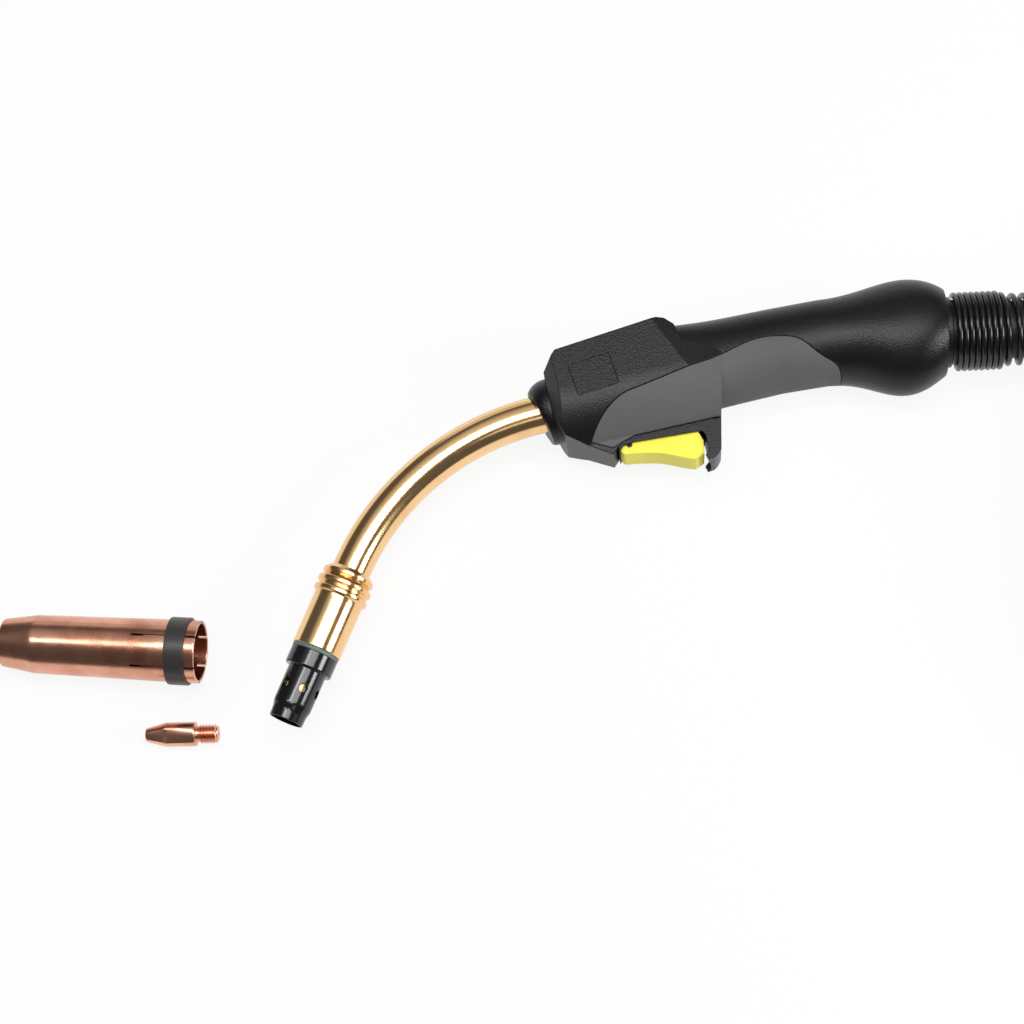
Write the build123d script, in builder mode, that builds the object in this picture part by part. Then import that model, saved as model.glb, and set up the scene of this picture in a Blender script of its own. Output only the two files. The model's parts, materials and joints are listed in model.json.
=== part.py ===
from build123d import *
import os
from math import atan, cos, degrees, pi, radians, sin, sqrt, tan

os.makedirs("parts", exist_ok=True)

# A gas-cooled MIG welding torch on its cable, lying on its right side on a bench, with its gas
# nozzle and contact tip taken off and laid beside it. Millimetres. The handle axis runs along X
# with the neck towards -X and the cable towards +X, the trigger faces -Y, and +Z is up.

# ---------------------------------------------------------------------------
# Driving dimensions
# ---------------------------------------------------------------------------

# Where the handle's datum (its axis, at the front of the housing) stands in the frame.
datum_x = 6.6
datum_y = 42.3

# Clearances and walls
seat_gap = 0.3            # between pieces that seat on one another without touching
fit_gap = 0.08            # radial, on turned fits and pins
handle_wall = 3.0         # moulded shells
inlay_depth = 1.5         # soft grip inlay
inlay_groove = 0.3        # round the inlay's edge

# Handle
handle_width = 42.0
axis_height = handle_width / 2
grip_end_tilt = -10.7     # heading of the rear mouth and of the cable, degrees
knuckle_x = 150.0
knuckle_y = -0.4
ball_radius = 17.5
mouth_distance = 18.6     # from the ball's centre to the rear rim
rim_radius = 18.2
mouth_radius = 17.1

# Front housing
housing_front = 2.0
crease_x = 6.3            # where the flat flanks begin
front_half_width = 13.0
nose_radius = 14.0        # round land behind the neck collar
nose_back = 9.0
collar_length = 9.0
collar_front_radius = 8.6
collar_face_x = -3.7      # where its leaning front face crosses the handle's axis
collar_lean = 15.5
ridge_front_x = 8.3
ridge_front_y = 18.9
ridge_end_x = 52.0
ridge_end_y = 23.3
ridge_chamfer = 2.0
flank_bend_y = 2.0        # below this the flanks curve in towards the trigger
flank_radius = 30.0
keel_x = 22.5
keel_y = -27.0
belly_y = -21.0           # underside of the shells along the trigger
block_rear_x = 73.4
block_rear_y = -3.0
block_slant = 13.2        # lean of the block's rear face, degrees
fade_x = 75.0             # a point of the plane in which the flanks fade into the grip
fade_y = 3.0
fade_half_width = 17.7
fade_rearward = 0.2       # how far that plane closes in per mm rearwards and upwards
fade_upward = 0.086
keel_half_width = 8.6

# Plain sunk panel on the left flank
panel_x = 21.6
panel_y = 4.9
panel_length = 17.4
panel_height = 13.9
panel_turn = 5.7
panel_depth = 0.4

# Inside the shells
socket_radius = 10.5
rib_stations = (14.0, 36.0)
rib_thickness = 4.0
collar_spigot = 10.5
ball_bore = 12.3
screw_radius = 1.5
screw_head_radius = 2.6
screw_head_height = 2.0
screw_length = 21.0
boss_left_radius = 3.2
boss_right_radius = 3.9
# x, y, the depth of the head's seat below the parting face, height of the left boss
screw_places = [
    (12.0, 15.0, 16.5, 19.0),
    (50.0, 17.5, 16.5, 19.0),
    (12.0, -14.8, 11.5, 14.0),
    (118.0, 13.0, 10.0, 13.0),
]

# Trigger, its bezel and the switch
pivot_x = 29.8
pivot_y = -23.8
pin_radius = 1.1
trigger_width = 14.0
trigger_swing = 6.0       # degrees
bezel_width = 17.4
bezel_wall = 1.4
bezel_top_y = -17.6
bezel_low_front = -23.4
bezel_low_rear = -25.0
pocket_front = 25.4
trigger_side_gap = 0.4
trigger_rear_x = 59.8
trigger_back_y = -22.7    # top of the trigger's rear end
trigger_toe_y = -36.2     # lowest point of the trigger
trigger_lip_y = -27.4     # where its concave face ends at the front
rib_half_width = 1.9      # the rib that pushes the switch's plunger
rib_foot_y = -21.5
spring_room_radius = 2.6
spring_room_half = 3.5
lug_thickness = 0.9       # the bezel's two lugs, which hold the pin
lug_half_width = 1.9
hook_inner_x = 61.1
hook_low_y = -37.6
switch_x = 50.0
switch_top_y = -11.2
switch_height = 6.2
switch_length = 13.0
switch_thickness = 5.8
plunger_x = 47.5
plunger_radius = 1.2
plunger_tip_y = -19.5     # at rest
plunger_length = 5.4

# Swan neck
neck_radius = 8.0
neck_wall = 1.3
bend_radius = 110.0
bend_angle = 55.6
corner_x = -60.0          # where the handle axis meets the axis of the neck's end
neck_back_x = 26.0        # rear end of the neck tube, inside the socket
insulator_outer = 6.4
insulator_inner = 5.3
core_outer = 5.0
core_inner = 2.9
liner_outer = 2.6
liner_inner = 1.3

core_back_x = 52.0
core_end = 96.0
liner_back_x = 134.0
spigot_radius = 6.0
cable_radius = 8.0
ferrule_radius = 9.2
grub_radius = 2.5
lead_radius = 0.8
lead_spread = 1.6
lead_level_x = 63.5
lead_level_y = -9.2
lead_end_x = 132.0

# Front end, measured along its axis from the corner of the two axes
sleeve_start = 59.0
sleeve_end = 94.6
sleeve_radius = 10.3
ring_pitch = 4.1
ring_first = 61.6
ring_small = 10.8
ring_large = 11.5
tube_end = 83.7
washer_thickness = 1.6
washer_radius = 9.9
diffuser_length = 29.5
flange_length = 7.3
diffuser_radius = 7.95
diffuser_bore = 6.6
mouth_outer = 7.2
mouth_wall = 0.6
gas_hole_radius = 1.65
gas_hole_station = 15.4   # from the washer's front face
gas_hole_count = 6
gas_hole_phase = 20.0
holder_flange = 6.8
holder_radius = 5.6
thread_bore = 3.4         # tapping size of the tip's M8 thread
thread_depth = 13.0
wire_bore = 1.5

# Loose gas nozzle
nozzle_x = -240.7
nozzle_y = -42.7
nozzle_heading = -16.3
nozzle_length = 83.2
nozzle_mouth_outer = 9.9
nozzle_mouth_bore = 8.0
nozzle_taper = 14.0
nozzle_body = 12.1
nozzle_rear = 12.9
nozzle_bore = 11.6
band_radius = 14.0
band_width = 8.2
band_from_rear = 4.2
slit_count = 6
slit_length = 27.0
slit_width = 1.0
slit_phase = 15.0

# Loose contact tip
tip_x = -190.3
tip_y = -92.9
tip_heading = -11.7
tip_length = 30.0
tip_radius = 5.0
tip_front_radius = 2.75
tip_cone = 8.4
tip_body_end = 20.9
tip_thread_radius = 3.95
tip_bore = 0.6
tip_flats = 8.0           # width across the spanner flats
flats_start = 4.5
flats_length = 7.8
flats_phase = 20.0

# Cable, its support spring and the connector
hose_radius = 12.0
ball_front = -10.0
collar_start = 14.0       # the ball's collar, from its centre
collar_end = 21.1
ball_collar = 14.7
ball_spigot = 13.5
ball_back = 38.0
spring_start = 21.6
spring_end = 80.2
spring_wire = 2.4
tight_turns = 8
tight_radius = 16.0
open_radius = 14.75
open_turns = 8
coil_radius = 130.0       # middle of the turns
coil_x = 357.8
coil_y = -153.4
coil_width = 48.0
coil_height = 48.0
coil_corner = 12.0
landing_x = 295.8         # where the cable reaches the bench
landing_y = -18.0
entry_x = 340.5           # where it meets the coil
entry_y = -12.5

# The tail's bend down into the connector
tail_x = coil_x - 8.0
tail_y = coil_y + 2.0
tail_bend = 137.0
tail_step = 24.0          # turn at each corner, degrees
tail_start = 132.0        # where the tail leaves the coil's top turn, degrees
tail_heights = (34.0, 39.5, 49.5, 60.0, 68.5)

# Connector, lying on the coil; stations run from the rear end of its boot
connector_x = tail_x + tail_bend
connector_y = -150.0
connector_height = 73.0
boot_radius = 18.0
boot_length = 34.0
connector_radius = 22.5
connector_wall = 3.0
housing_start = 25.0
housing_end = 84.0
body_start = 54.0
body_neck = 15.0
body_flange = 17.0
face_station = 104.0
face_radius = 14.0
nose_pin_radius = 6.0
nose_pin_end = 128.0
seal_station = 114.0      # middle of the nose's O-ring
seal_groove = 4.6         # radius at the bottom of its groove
seal_half = 1.1
seal_radius = 6.4
guide_outer = 1.6
guide_inner = 1.1
guide_end = 134.0
nut_radius = 25.0
nut_end = 113.0
nut_grooves = 10
signal_pin_radius = 1.9
signal_pin_circle = 10.0


# ---------------------------------------------------------------------------
# Frames and helpers
# ---------------------------------------------------------------------------


def spot(x, y, z=0.0):
    """A point given from the handle's datum."""
    return Vector(datum_x + x, datum_y + y, axis_height + z)


def lathe_plane(x, y, heading, z=0.0, climb=0.0):
    """A plane whose X runs along a turned piece's axis, level or climbing, and whose Y is its radius."""
    turn = radians(heading)
    rise = radians(climb)
    return Plane(
        origin=spot(x, y, z),
        x_dir=(cos(turn) * cos(rise), sin(turn) * cos(rise), sin(rise)),
        z_dir=(-cos(turn) * sin(rise), -sin(turn) * sin(rise), cos(rise)),
    )


def turning_axis(plane):
    return Axis(plane.origin, plane.x_dir)


middle = Plane(origin=spot(0, 0))
handle_lathe = lathe_plane(0, 0, 0)
end_heading = 180 + bend_angle
end_lathe = lathe_plane(corner_x, 0, end_heading)
cable_lathe = lathe_plane(knuckle_x, knuckle_y, grip_end_tilt)

# The nozzle rests on its band and on the shoulder behind its taper, so its axis climbs a little.
band_rear = nozzle_length - band_from_rear
band_front = band_rear - band_width
nozzle_climb = atan((band_radius - nozzle_body) / (band_front - nozzle_taper))
nozzle_start = nozzle_body * cos(nozzle_climb) - nozzle_taper * sin(nozzle_climb)
nozzle_lathe = lathe_plane(
    nozzle_x, nozzle_y, nozzle_heading, nozzle_start - axis_height, degrees(nozzle_climb)
)
tip_lathe = lathe_plane(tip_x, tip_y, tip_heading, tip_radius - axis_height)

rear_face_run = tan(radians(block_slant))


def block_rear(y):
    """X of the trigger block's leaning rear face at the height y."""
    return block_rear_x + (y - block_rear_y) * rear_face_run


# ---------------------------------------------------------------------------
# Handle form
# ---------------------------------------------------------------------------

# x, y of the centre, half height, half width, tilt in degrees, fullness
grip_stations = [
    (50.0, 4.9, 17.8, 20.6, 0.0, 0.84),
    (60.0, 4.7, 17.9, 19.5, 0.0, 0.76),
    (70.0, 4.5, 18.1, 18.2, 0.0, 0.66),
    (80.0, 4.4, 18.1, 17.5, 0.0, 0.60),
    (98.0, 4.3, 17.8, 17.4, 0.0, 0.59),
    (118.0, 3.3, 18.1, 17.6, -4.0, 0.57),
    (126.0, 2.2, 18.7, 18.1, -5.5, 0.56),
    (134.0, 0.8, 20.5, 19.2, -7.0, 0.552),
    (149.0, -1.9, 24.4, 20.85, -9.0, 0.552),
    (160.0, -3.0, 22.9, 20.6, -10.0, 0.552),
]


def section_plane(x, y, tilt):
    """A plane across the grip: its X points up the handle's back, its Y to the left."""
    turn = radians(tilt)
    return Plane(origin=spot(x, y), x_dir=(-sin(turn), cos(turn), 0), z_dir=(cos(turn), sin(turn), 0))


def oval(half_height, half_width, fullness):
    """The four quarters of an oval; a fullness of 0.552 is an ellipse, and more is squarer."""
    for up in (1, -1):
        for left in (1, -1):
            crown, flank = (up * half_height, 0), (0, left * half_width)
            Bezier(
                crown,
                (crown[0], flank[1] * fullness),
                (crown[0] * fullness, flank[1]),
                flank,
            )


def grip_form(shrink, stations):
    """The rounded grip, inset by shrink: out of the block's squarer section, two plain stretches, the bulb."""
    with BuildPart() as form:
        for stretch in (stations[:4], stations[3:5], stations[4:6], stations[5:]):
            with BuildPart(mode=Mode.PRIVATE) as piece:
                for x, y, half_height, half_width, tilt, fullness in stretch:
                    with BuildSketch(section_plane(x, y, tilt)):
                        with BuildLine():
                            oval(half_height - shrink, half_width - shrink, fullness)
                        make_face()
                loft()
            add(piece.part)
    return form.part


rim_x = knuckle_x + mouth_distance * cos(radians(grip_end_tilt))
rim_y = knuckle_y + mouth_distance * sin(radians(grip_end_tilt))
rim_station = (rim_x, rim_y, rim_radius, rim_radius, grip_end_tilt, 0.552)

side_outline = [
    (housing_front, -8.0),
    (housing_front, 12.5),
    (ridge_front_x, ridge_front_y),
    (ridge_end_x, ridge_end_y),
    (ridge_end_x + 3.2, ridge_end_y - 1.0),
    (ridge_end_x + 6.5, ridge_end_y - 4.3),
    (ridge_end_x + 8.0, 12.0),
    (block_rear(5.0), 5.0),
    (block_rear(belly_y), belly_y),
    (33.0, belly_y),
    (26.6, belly_y - 1.8),
    (keel_x, keel_y),
    (5.0, -16.2),
    (housing_front + 0.8, -10.2),
]
flank_drop = sqrt(flank_radius**2 - (flank_bend_y - belly_y) ** 2)
belly_half_width = handle_width / 2 - flank_radius + flank_drop


flank_turn = radians(25)
flank_middle = (
    flank_bend_y - flank_radius * sin(flank_turn),
    handle_width / 2 - flank_radius * (1 - cos(flank_turn)),
)


def housing_form(shrink):
    """The angular front housing: three outlines seen from the side, the front and above, crossed."""
    half = handle_width / 2
    with BuildPart() as form:
        with BuildSketch(middle):
            with BuildLine():
                Polyline(*side_outline, close=True)
            make_face()
            offset(amount=-shrink, kind=Kind.INTERSECTION) if shrink else None
        extrude(amount=half, both=True)
        with BuildSketch(Plane(origin=spot(housing_front - 5, 0), x_dir=(0, 1, 0), z_dir=(1, 0, 0))):
            with BuildLine():
                Polyline(
                    (flank_bend_y, half),
                    (ridge_front_y - ridge_chamfer, half),
                    (ridge_end_y + 2 - ridge_chamfer, half),
                    (ridge_end_y + 2, half - ridge_chamfer),
                    (ridge_end_y + 2, 0),
                    (keel_y - 2, 0),
                    (keel_y - 2, keel_half_width),
                    (belly_y, belly_half_width),
                )
                ThreePointArc((belly_y, belly_half_width), flank_middle, (flank_bend_y, half))
            make_face()
            mirror(about=Plane.XZ)
            offset(amount=-shrink, kind=Kind.INTERSECTION) if shrink else None
        extrude(amount=block_rear_x + 20, mode=Mode.INTERSECT)
        with BuildSketch(Plane(origin=spot(0, -60), x_dir=(1, 0, 0), z_dir=(0, 1, 0))):
            with BuildLine():
                Polyline(
                    (housing_front - 1, 0),
                    (housing_front - 1, front_half_width),
                    (crease_x, half),
                    (block_rear_x + 10, half),
                    (block_rear_x + 10, 0),
                    close=True,
                )
            make_face()
            mirror(about=Plane.XZ)
            offset(amount=-shrink, kind=Kind.INTERSECTION) if shrink else None
        extrude(amount=120, mode=Mode.INTERSECT)
        for side in (1, -1):
            across = Vector(fade_rearward, fade_upward, side).normalized()
            fade = spot(fade_x, fade_y, side * fade_half_width) - across * shrink
            split(bisect_by=Plane(origin=fade, z_dir=across), keep=Keep.BOTTOM)
    return form.part



def turned(plane, outline):
    """A solid of revolution about the plane's X, from pairs of station and radius."""
    with BuildPart() as piece:
        with BuildSketch(plane):
            with BuildLine():
                Polyline(*outline, close=True)
            make_face()
        revolve(axis=turning_axis(plane))
    return piece.part


def handle_solid(shrink, stations):
    """Grip, front housing and round nose together, inset by shrink."""
    with BuildPart() as form:
        add(grip_form(shrink, stations))
        add(housing_form(shrink))
        nose_front = housing_front + shrink
        nose_end = nose_back - shrink
        nose_side = nose_radius - shrink
        nose = [(nose_front, 0), (nose_front, nose_side), (nose_end, nose_side), (nose_end, 0)]
        add(turned(handle_lathe, nose))
    return form.part


# ---------------------------------------------------------------------------
# Handle shells and grip inlays
# ---------------------------------------------------------------------------

outer_form = handle_solid(0, grip_stations + [rim_station])

# The inlay's outline on the flank, from its front corner over the top and back under the trigger.
inlay_upper = [(15.0, -20.2), (18.8, -15.2), (24.1, -10.2), (30.0, -6.6), (37.1, -4.9)]
inlay_crest = [
    (69.8, 0.7),
    (80.8, 3.7),
    (92.1, 5.4),
    (99.4, 4.4),
    (106.7, 1.6),
    (114.9, -7.0),
    (120.5, -12.0),
    (121.3, -14.5),
]
inlay_foot = [(122.0, -32.0), (35.0, -32.0), (33.0, -20.9), (23.0, -24.2)]
slot_half_width = bezel_width / 2 + seat_gap
slot_front = 24.9
slot_rear = 66.3


def grown(loop, amount):
    """The points of a clockwise loop, each moved outwards by amount."""
    moved = []
    for before, point, after in zip(loop[-1:] + loop[:-1], loop, loop[1:] + loop[:1]):
        way = Vector(after[0] - before[0], after[1] - before[1]).normalized()
        moved.append((point[0] - way.Y * amount, point[1] + way.X * amount))
    return moved


def inlay_form(shrink, grow):
    """The skin of the handle down to a depth of shrink, inside the inlay's outline grown by grow."""
    loop = grown(inlay_upper + inlay_crest + inlay_foot, grow)
    upper = loop[: len(inlay_upper)]
    crest = loop[len(inlay_upper) : len(inlay_upper) + len(inlay_crest)]
    foot = loop[len(inlay_upper) + len(inlay_crest) :]
    with BuildPart() as form:
        with BuildSketch(middle):
            with BuildLine():
                Spline(*upper)
                Line(upper[-1], crest[0])
                Spline(*crest)
                Polyline(crest[-1], *foot, upper[0])
            make_face()
        extrude(amount=handle_width, both=True)
        add(outer_form, mode=Mode.INTERSECT)
        add(handle_solid(shrink, grip_stations), mode=Mode.SUBTRACT)
        with Locations(spot(slot_rear + 1.2 - grow, belly_y)):
            Box(
                block_rear_x,
                2 * handle_width,
                2 * (slot_half_width + seat_gap - grow),
                align=(Align.MAX, Align.CENTER, Align.CENTER),
                mode=Mode.SUBTRACT,
            )
    return form.part


inlays = inlay_form(inlay_depth, 0)
pocket = inlay_form(inlay_depth + seat_gap, inlay_groove)

# the ball's seat, with the cable's passage in front of it and the flared mouth behind
seat_radius = ball_radius + seat_gap
passage = ball_bore + 0.7
passage_end = -sqrt(seat_radius**2 - passage**2)
seat_rear = 8.1
seat_rear_radius = sqrt(seat_radius**2 - seat_rear**2)
with BuildPart() as ball_seat:
    with BuildSketch(cable_lathe):
        with BuildLine():
            Polyline((passage_end, passage), (-19, passage), (-19, 0), (mouth_distance + 4, 0))
            Polyline((mouth_distance + 4, 0), (mouth_distance + 4, mouth_radius + 0.7))
            Polyline((mouth_distance + 4, mouth_radius + 0.7), (mouth_distance, mouth_radius))
            Line((mouth_distance, mouth_radius), (seat_rear, seat_rear_radius))
            ThreePointArc((seat_rear, seat_rear_radius), (0, seat_radius), (passage_end, passage))
        make_face()
    revolve(axis=turning_axis(cable_lathe))

with BuildPart() as cavity:
    add(handle_solid(handle_wall, grip_stations[:8]))
    for station in rib_stations:
        with Locations(spot(station, 0)):
            Box(rib_thickness, 90, 60, mode=Mode.SUBTRACT)
    rib_front = rib_stations[0] - rib_thickness
    rib_back = rib_stations[1] + rib_thickness
    rib_bore = socket_radius + seat_gap
    add(turned(handle_lathe, [(rib_front, 0), (rib_front, rib_bore), (rib_back, rib_bore), (rib_back, 0)]))
    for x, y, seat_depth, boss_height in screw_places:
        with Locations(spot(x, y)):
            Cylinder(
                boss_left_radius,
                boss_height,
                align=(Align.CENTER, Align.CENTER, Align.MIN),
                mode=Mode.SUBTRACT,
            )
            Cylinder(
                boss_right_radius,
                boss_height + 1,
                align=(Align.CENTER, Align.CENTER, Align.MAX),
                mode=Mode.SUBTRACT,
            )
    # the two ribs that hold the switch
    for side in (1, -1):
        with Locations(spot(50, -14.2, side * 10)):
            Box(8, 5.4, 13.6, mode=Mode.SUBTRACT)
    # front bore and rear seat
    bore = collar_spigot + seat_gap
    bore_front = housing_front - 1
    bore_back = housing_front + handle_wall + 2
    add(turned(handle_lathe, [(bore_front, 0), (bore_front, bore), (bore_back, bore), (bore_back, 0)]))
    add(ball_seat.part)
    # slot for the trigger's bezel
    with Locations(spot((slot_front + slot_rear) / 2, bezel_top_y + seat_gap - 15)):
        Box(slot_rear - slot_front, 30, 2 * slot_half_width)

with BuildPart() as shells:
    add(outer_form)
    add(cavity.part, mode=Mode.SUBTRACT)
    add(pocket, mode=Mode.SUBTRACT)
    for x, y, seat_depth, boss_height in screw_places:
        with Locations(spot(x, y)):
            Cylinder(
                screw_radius + 0.05,
                screw_length - seat_depth + 0.8,
                align=(Align.CENTER, Align.CENTER, Align.MIN),
                mode=Mode.SUBTRACT,
            )
        with Locations(spot(x, y)):
            Cylinder(
                screw_radius + seat_gap,
                seat_depth + 1,
                align=(Align.CENTER, Align.CENTER, Align.MAX),
                mode=Mode.SUBTRACT,
            )
        with Locations(spot(x, y, -seat_depth)):
            Cylinder(
                screw_head_radius + seat_gap,
                20,
                align=(Align.CENTER, Align.CENTER, Align.MAX),
                mode=Mode.SUBTRACT,
            )

with BuildPart() as handle_shell_right:
    add(shells.part)
    split(bisect_by=middle, keep=Keep.BOTTOM)
with BuildPart() as grip_inlay_left:
    add(inlays)
    split(bisect_by=middle, keep=Keep.TOP)
with BuildPart() as grip_inlay_right:
    add(inlays)
    split(bisect_by=middle, keep=Keep.BOTTOM)


# shallow plain panel on the left flank
with BuildPart() as panel:
    with BuildSketch(Plane(origin=spot(panel_x, panel_y, handle_width / 2)).rotated((0, 0, panel_turn))):
        Rectangle(panel_length, panel_height)
    extrude(amount=-panel_depth)
with BuildPart() as handle_shell_left:
    add(shells.part)
    split(bisect_by=middle, keep=Keep.TOP)
    add(panel.part, mode=Mode.SUBTRACT)

with BuildPart() as handle_screw:
    for x, y, seat_depth, boss_height in screw_places:
        with Locations(spot(x, y, -seat_depth)):
            Cylinder(screw_head_radius, screw_head_height, align=(Align.CENTER, Align.CENTER, Align.MAX))
            Cylinder(screw_radius, screw_length, align=(Align.CENTER, Align.CENTER, Align.MIN))
        with Locations(spot(x, y, -seat_depth - screw_head_height + 0.6)):
            Box(0.8, 3.4, 3, align=(Align.CENTER, Align.CENTER, Align.MAX), mode=Mode.SUBTRACT)
            Box(3.4, 0.8, 3, align=(Align.CENTER, Align.CENTER, Align.MAX), mode=Mode.SUBTRACT)

# Domed collar where the neck leaves the housing; its front face leans with the bend
with BuildPart() as neck_collar:
    with BuildSketch(handle_lathe):
        with BuildLine():
            Polyline(
                (housing_front - collar_length, 0),
                (housing_front - collar_length, collar_front_radius),
                (housing_front - 0.8 * collar_length, collar_front_radius + 1.6),
            )
            Spline(
                (housing_front - 0.8 * collar_length, collar_front_radius + 1.6),
                (housing_front - 0.4 * collar_length, nose_radius - 1.0),
                (housing_front, nose_radius),
                tangents=((1, 1), (1, 0)),
            )
            Polyline(
                (housing_front, nose_radius),
                (housing_front, collar_spigot),
                (housing_front + handle_wall - 0.1, collar_spigot),
                (housing_front + handle_wall - 0.1, 0),
                (housing_front - collar_length, 0),
            )
        make_face()
    revolve(axis=turning_axis(handle_lathe))
    lean = radians(collar_lean)
    face = Plane(origin=spot(collar_face_x, 0), z_dir=(-cos(lean), -sin(lean), 0))
    split(bisect_by=face, keep=Keep.BOTTOM)
    add(turned(handle_lathe, [(-20, 0), (-20, neck_radius + seat_gap), (20, neck_radius + seat_gap), (20, 0)]), mode=Mode.SUBTRACT)

# ---------------------------------------------------------------------------
# Trigger group
# ---------------------------------------------------------------------------


def hook_line(x, y):
    """X of a line parallel to the block's rear face that passes through x at the block's underside."""
    return x + (y - belly_y) * rear_face_run


hook_back = block_rear(belly_y)
bezel_top_rear = slot_rear - seat_gap
bezel_outline = [
    (slot_front + seat_gap, bezel_top_y),
    (bezel_top_rear, bezel_top_y),
    (bezel_top_rear, belly_y - seat_gap),
    (hook_line(hook_back, belly_y - seat_gap), belly_y - seat_gap),
    (hook_line(hook_back, hook_low_y + 3.2), hook_low_y + 3.2),
    (hook_line(hook_back, hook_low_y) - 0.9, hook_low_y + 1.2),
    (hook_line(hook_back, hook_low_y) - 2.6, hook_low_y),
    (hook_inner_x - 1.3, hook_low_y - 0.4),
    (hook_inner_x - 1.9, hook_low_y + 2.0),
    (hook_inner_x, hook_low_y + 3.6),
    (hook_inner_x, bezel_low_rear - 1.8),
    (hook_inner_x - 1.2, bezel_low_rear),
    (pivot_x + 2.0, bezel_low_front),
    (pivot_x - 2.4, bezel_low_front - 0.6),
    (pocket_front, bezel_low_front - 2.6),
    (slot_front + seat_gap, bezel_low_front - 2.6),
]
pocket_half_width = trigger_width / 2 + trigger_side_gap
lug_drop = bezel_top_y - bezel_wall / 2 - pivot_y
with BuildPart() as trigger_bezel:
    with BuildSketch(middle):
        with BuildLine():
            Polyline(*bezel_outline, close=True)
        make_face()
    extrude(amount=bezel_width / 2, both=True)
    # the trigger's pocket, open below, and the window for its rib
    with Locations(spot((pocket_front + hook_inner_x) / 2, bezel_top_y - bezel_wall - 15)):
        Box(hook_inner_x - pocket_front, 30, 2 * pocket_half_width, mode=Mode.SUBTRACT)
    with Locations(spot(plunger_x, bezel_top_y)):
        Box(4.6, 6, 4.4, mode=Mode.SUBTRACT)
    # two lugs inside the trigger's spring room hold its pin
    for side in (1, -1):
        with Locations(spot(pivot_x, pivot_y, side * (spring_room_half - seat_gap - lug_thickness / 2))):
            Cylinder(lug_half_width, lug_thickness)
            Box(2 * lug_half_width, lug_drop, lug_thickness, align=(Align.CENTER, Align.MIN, Align.CENTER))
    with Locations(spot(pivot_x, pivot_y)):
        Cylinder(pin_radius + 0.05, 2 * spring_room_half, mode=Mode.SUBTRACT)

rib_outline = [
    (plunger_x - 2.2, rib_foot_y),
    (plunger_x - 1.1, plunger_tip_y - seat_gap),
    (plunger_x + 1.1, plunger_tip_y - seat_gap),
    (plunger_x + 2.2, rib_foot_y - 0.3),
]
trigger_outline = [
    (pivot_x - 2.6, pivot_y + 1.4),
    (pivot_x - 1.2, pivot_y + 2.1),
    *rib_outline,
    (trigger_rear_x - 1.8, trigger_back_y),
    (trigger_rear_x, trigger_toe_y + 7.2),
    (trigger_rear_x - 0.9, trigger_toe_y + 1.7),
    (trigger_rear_x - 4.8, trigger_toe_y),
]
trigger_face = [
    (trigger_rear_x - 4.8, trigger_toe_y),
    (trigger_rear_x - 11.5, trigger_toe_y + 2.8),
    (trigger_rear_x - 17.5, trigger_toe_y + 5.5),
    (trigger_rear_x - 25.0, trigger_lip_y - 1.3),
    (pivot_x - 2.8, trigger_lip_y),
]
with BuildPart() as trigger:
    with BuildSketch(middle):
        with BuildLine():
            Polyline(*trigger_outline)
            Spline(*trigger_face)
            Polyline(
                (pivot_x - 2.8, trigger_lip_y),
                (pivot_x - 4.2, trigger_lip_y + 2.0),
                (pivot_x - 3.6, pivot_y - 0.8),
                (pivot_x - 2.6, pivot_y + 1.4),
            )
        make_face()
    extrude(amount=trigger_width / 2, both=True)
    # the rib is narrower than the trigger, so that it passes the bezel's window
    for side in (1, -1):
        rib_side = Plane(origin=spot(0, 0, side * rib_half_width), z_dir=(0, 0, side), x_dir=(1, 0, 0))
        with BuildSketch(rib_side):
            with BuildLine():
                Polyline(*[(x, side * y) for x, y in rib_outline], close=True)
            make_face()
        extrude(amount=trigger_width, mode=Mode.SUBTRACT)
    with Locations(spot(pivot_x, pivot_y)):
        Cylinder(pin_radius + fit_gap, 40, mode=Mode.SUBTRACT)
    # room for the spring, from the pin up
    with Locations(spot(pivot_x, pivot_y)):
        Cylinder(spring_room_radius, 2 * spring_room_half, mode=Mode.SUBTRACT)
    with Locations(spot(pivot_x, pivot_y + 3)):
        Box(2 * spring_room_radius, 6, 2 * spring_room_half, mode=Mode.SUBTRACT)
    with Locations(spot(pivot_x + 3.5, pivot_y - 1.6)):
        Box(7, 1.2, 1.6, mode=Mode.SUBTRACT)

with BuildPart() as trigger_pin:
    with Locations(spot(pivot_x, pivot_y)):
        Cylinder(pin_radius, trigger_width)

with BuildPart() as trigger_spring:
    with Locations(spot(pivot_x, pivot_y)):
        Cylinder(pin_radius + 1.1, 2 * (spring_room_half - lug_thickness - 2 * seat_gap))
        Cylinder(pin_radius + 0.3, 20, mode=Mode.SUBTRACT)
    with Locations(spot(pivot_x + 3.6, pivot_y - 1.6)):
        Box(5.6, 0.6, 0.8)
    with Locations(spot(pivot_x - 1.8, pivot_y + 1.5)):
        Box(0.6, 3.0, 0.8)

switch_low_y = switch_top_y - switch_height
with BuildPart() as microswitch:
    with Locations(spot(switch_x, switch_top_y - switch_height / 2)):
        Box(switch_length, switch_height, switch_thickness)
    with Locations(spot(plunger_x, switch_low_y)):
        Cylinder(plunger_radius + fit_gap, 11.2, rotation=(90, 0, 0), mode=Mode.SUBTRACT)

with BuildPart() as switch_plunger:
    with Locations(spot(plunger_x, plunger_tip_y + plunger_length / 2)):
        Cylinder(plunger_radius, plunger_length, rotation=(90, 0, 0))

terminal_x = switch_x + switch_length / 2
lead_y = switch_top_y - 2.6
with BuildPart() as switch_terminals:
    for side in (1, -1):
        with Locations(spot(terminal_x + 1.25, lead_y, side * lead_spread)):
            Box(2.5, 2.2, 0.6)

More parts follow.
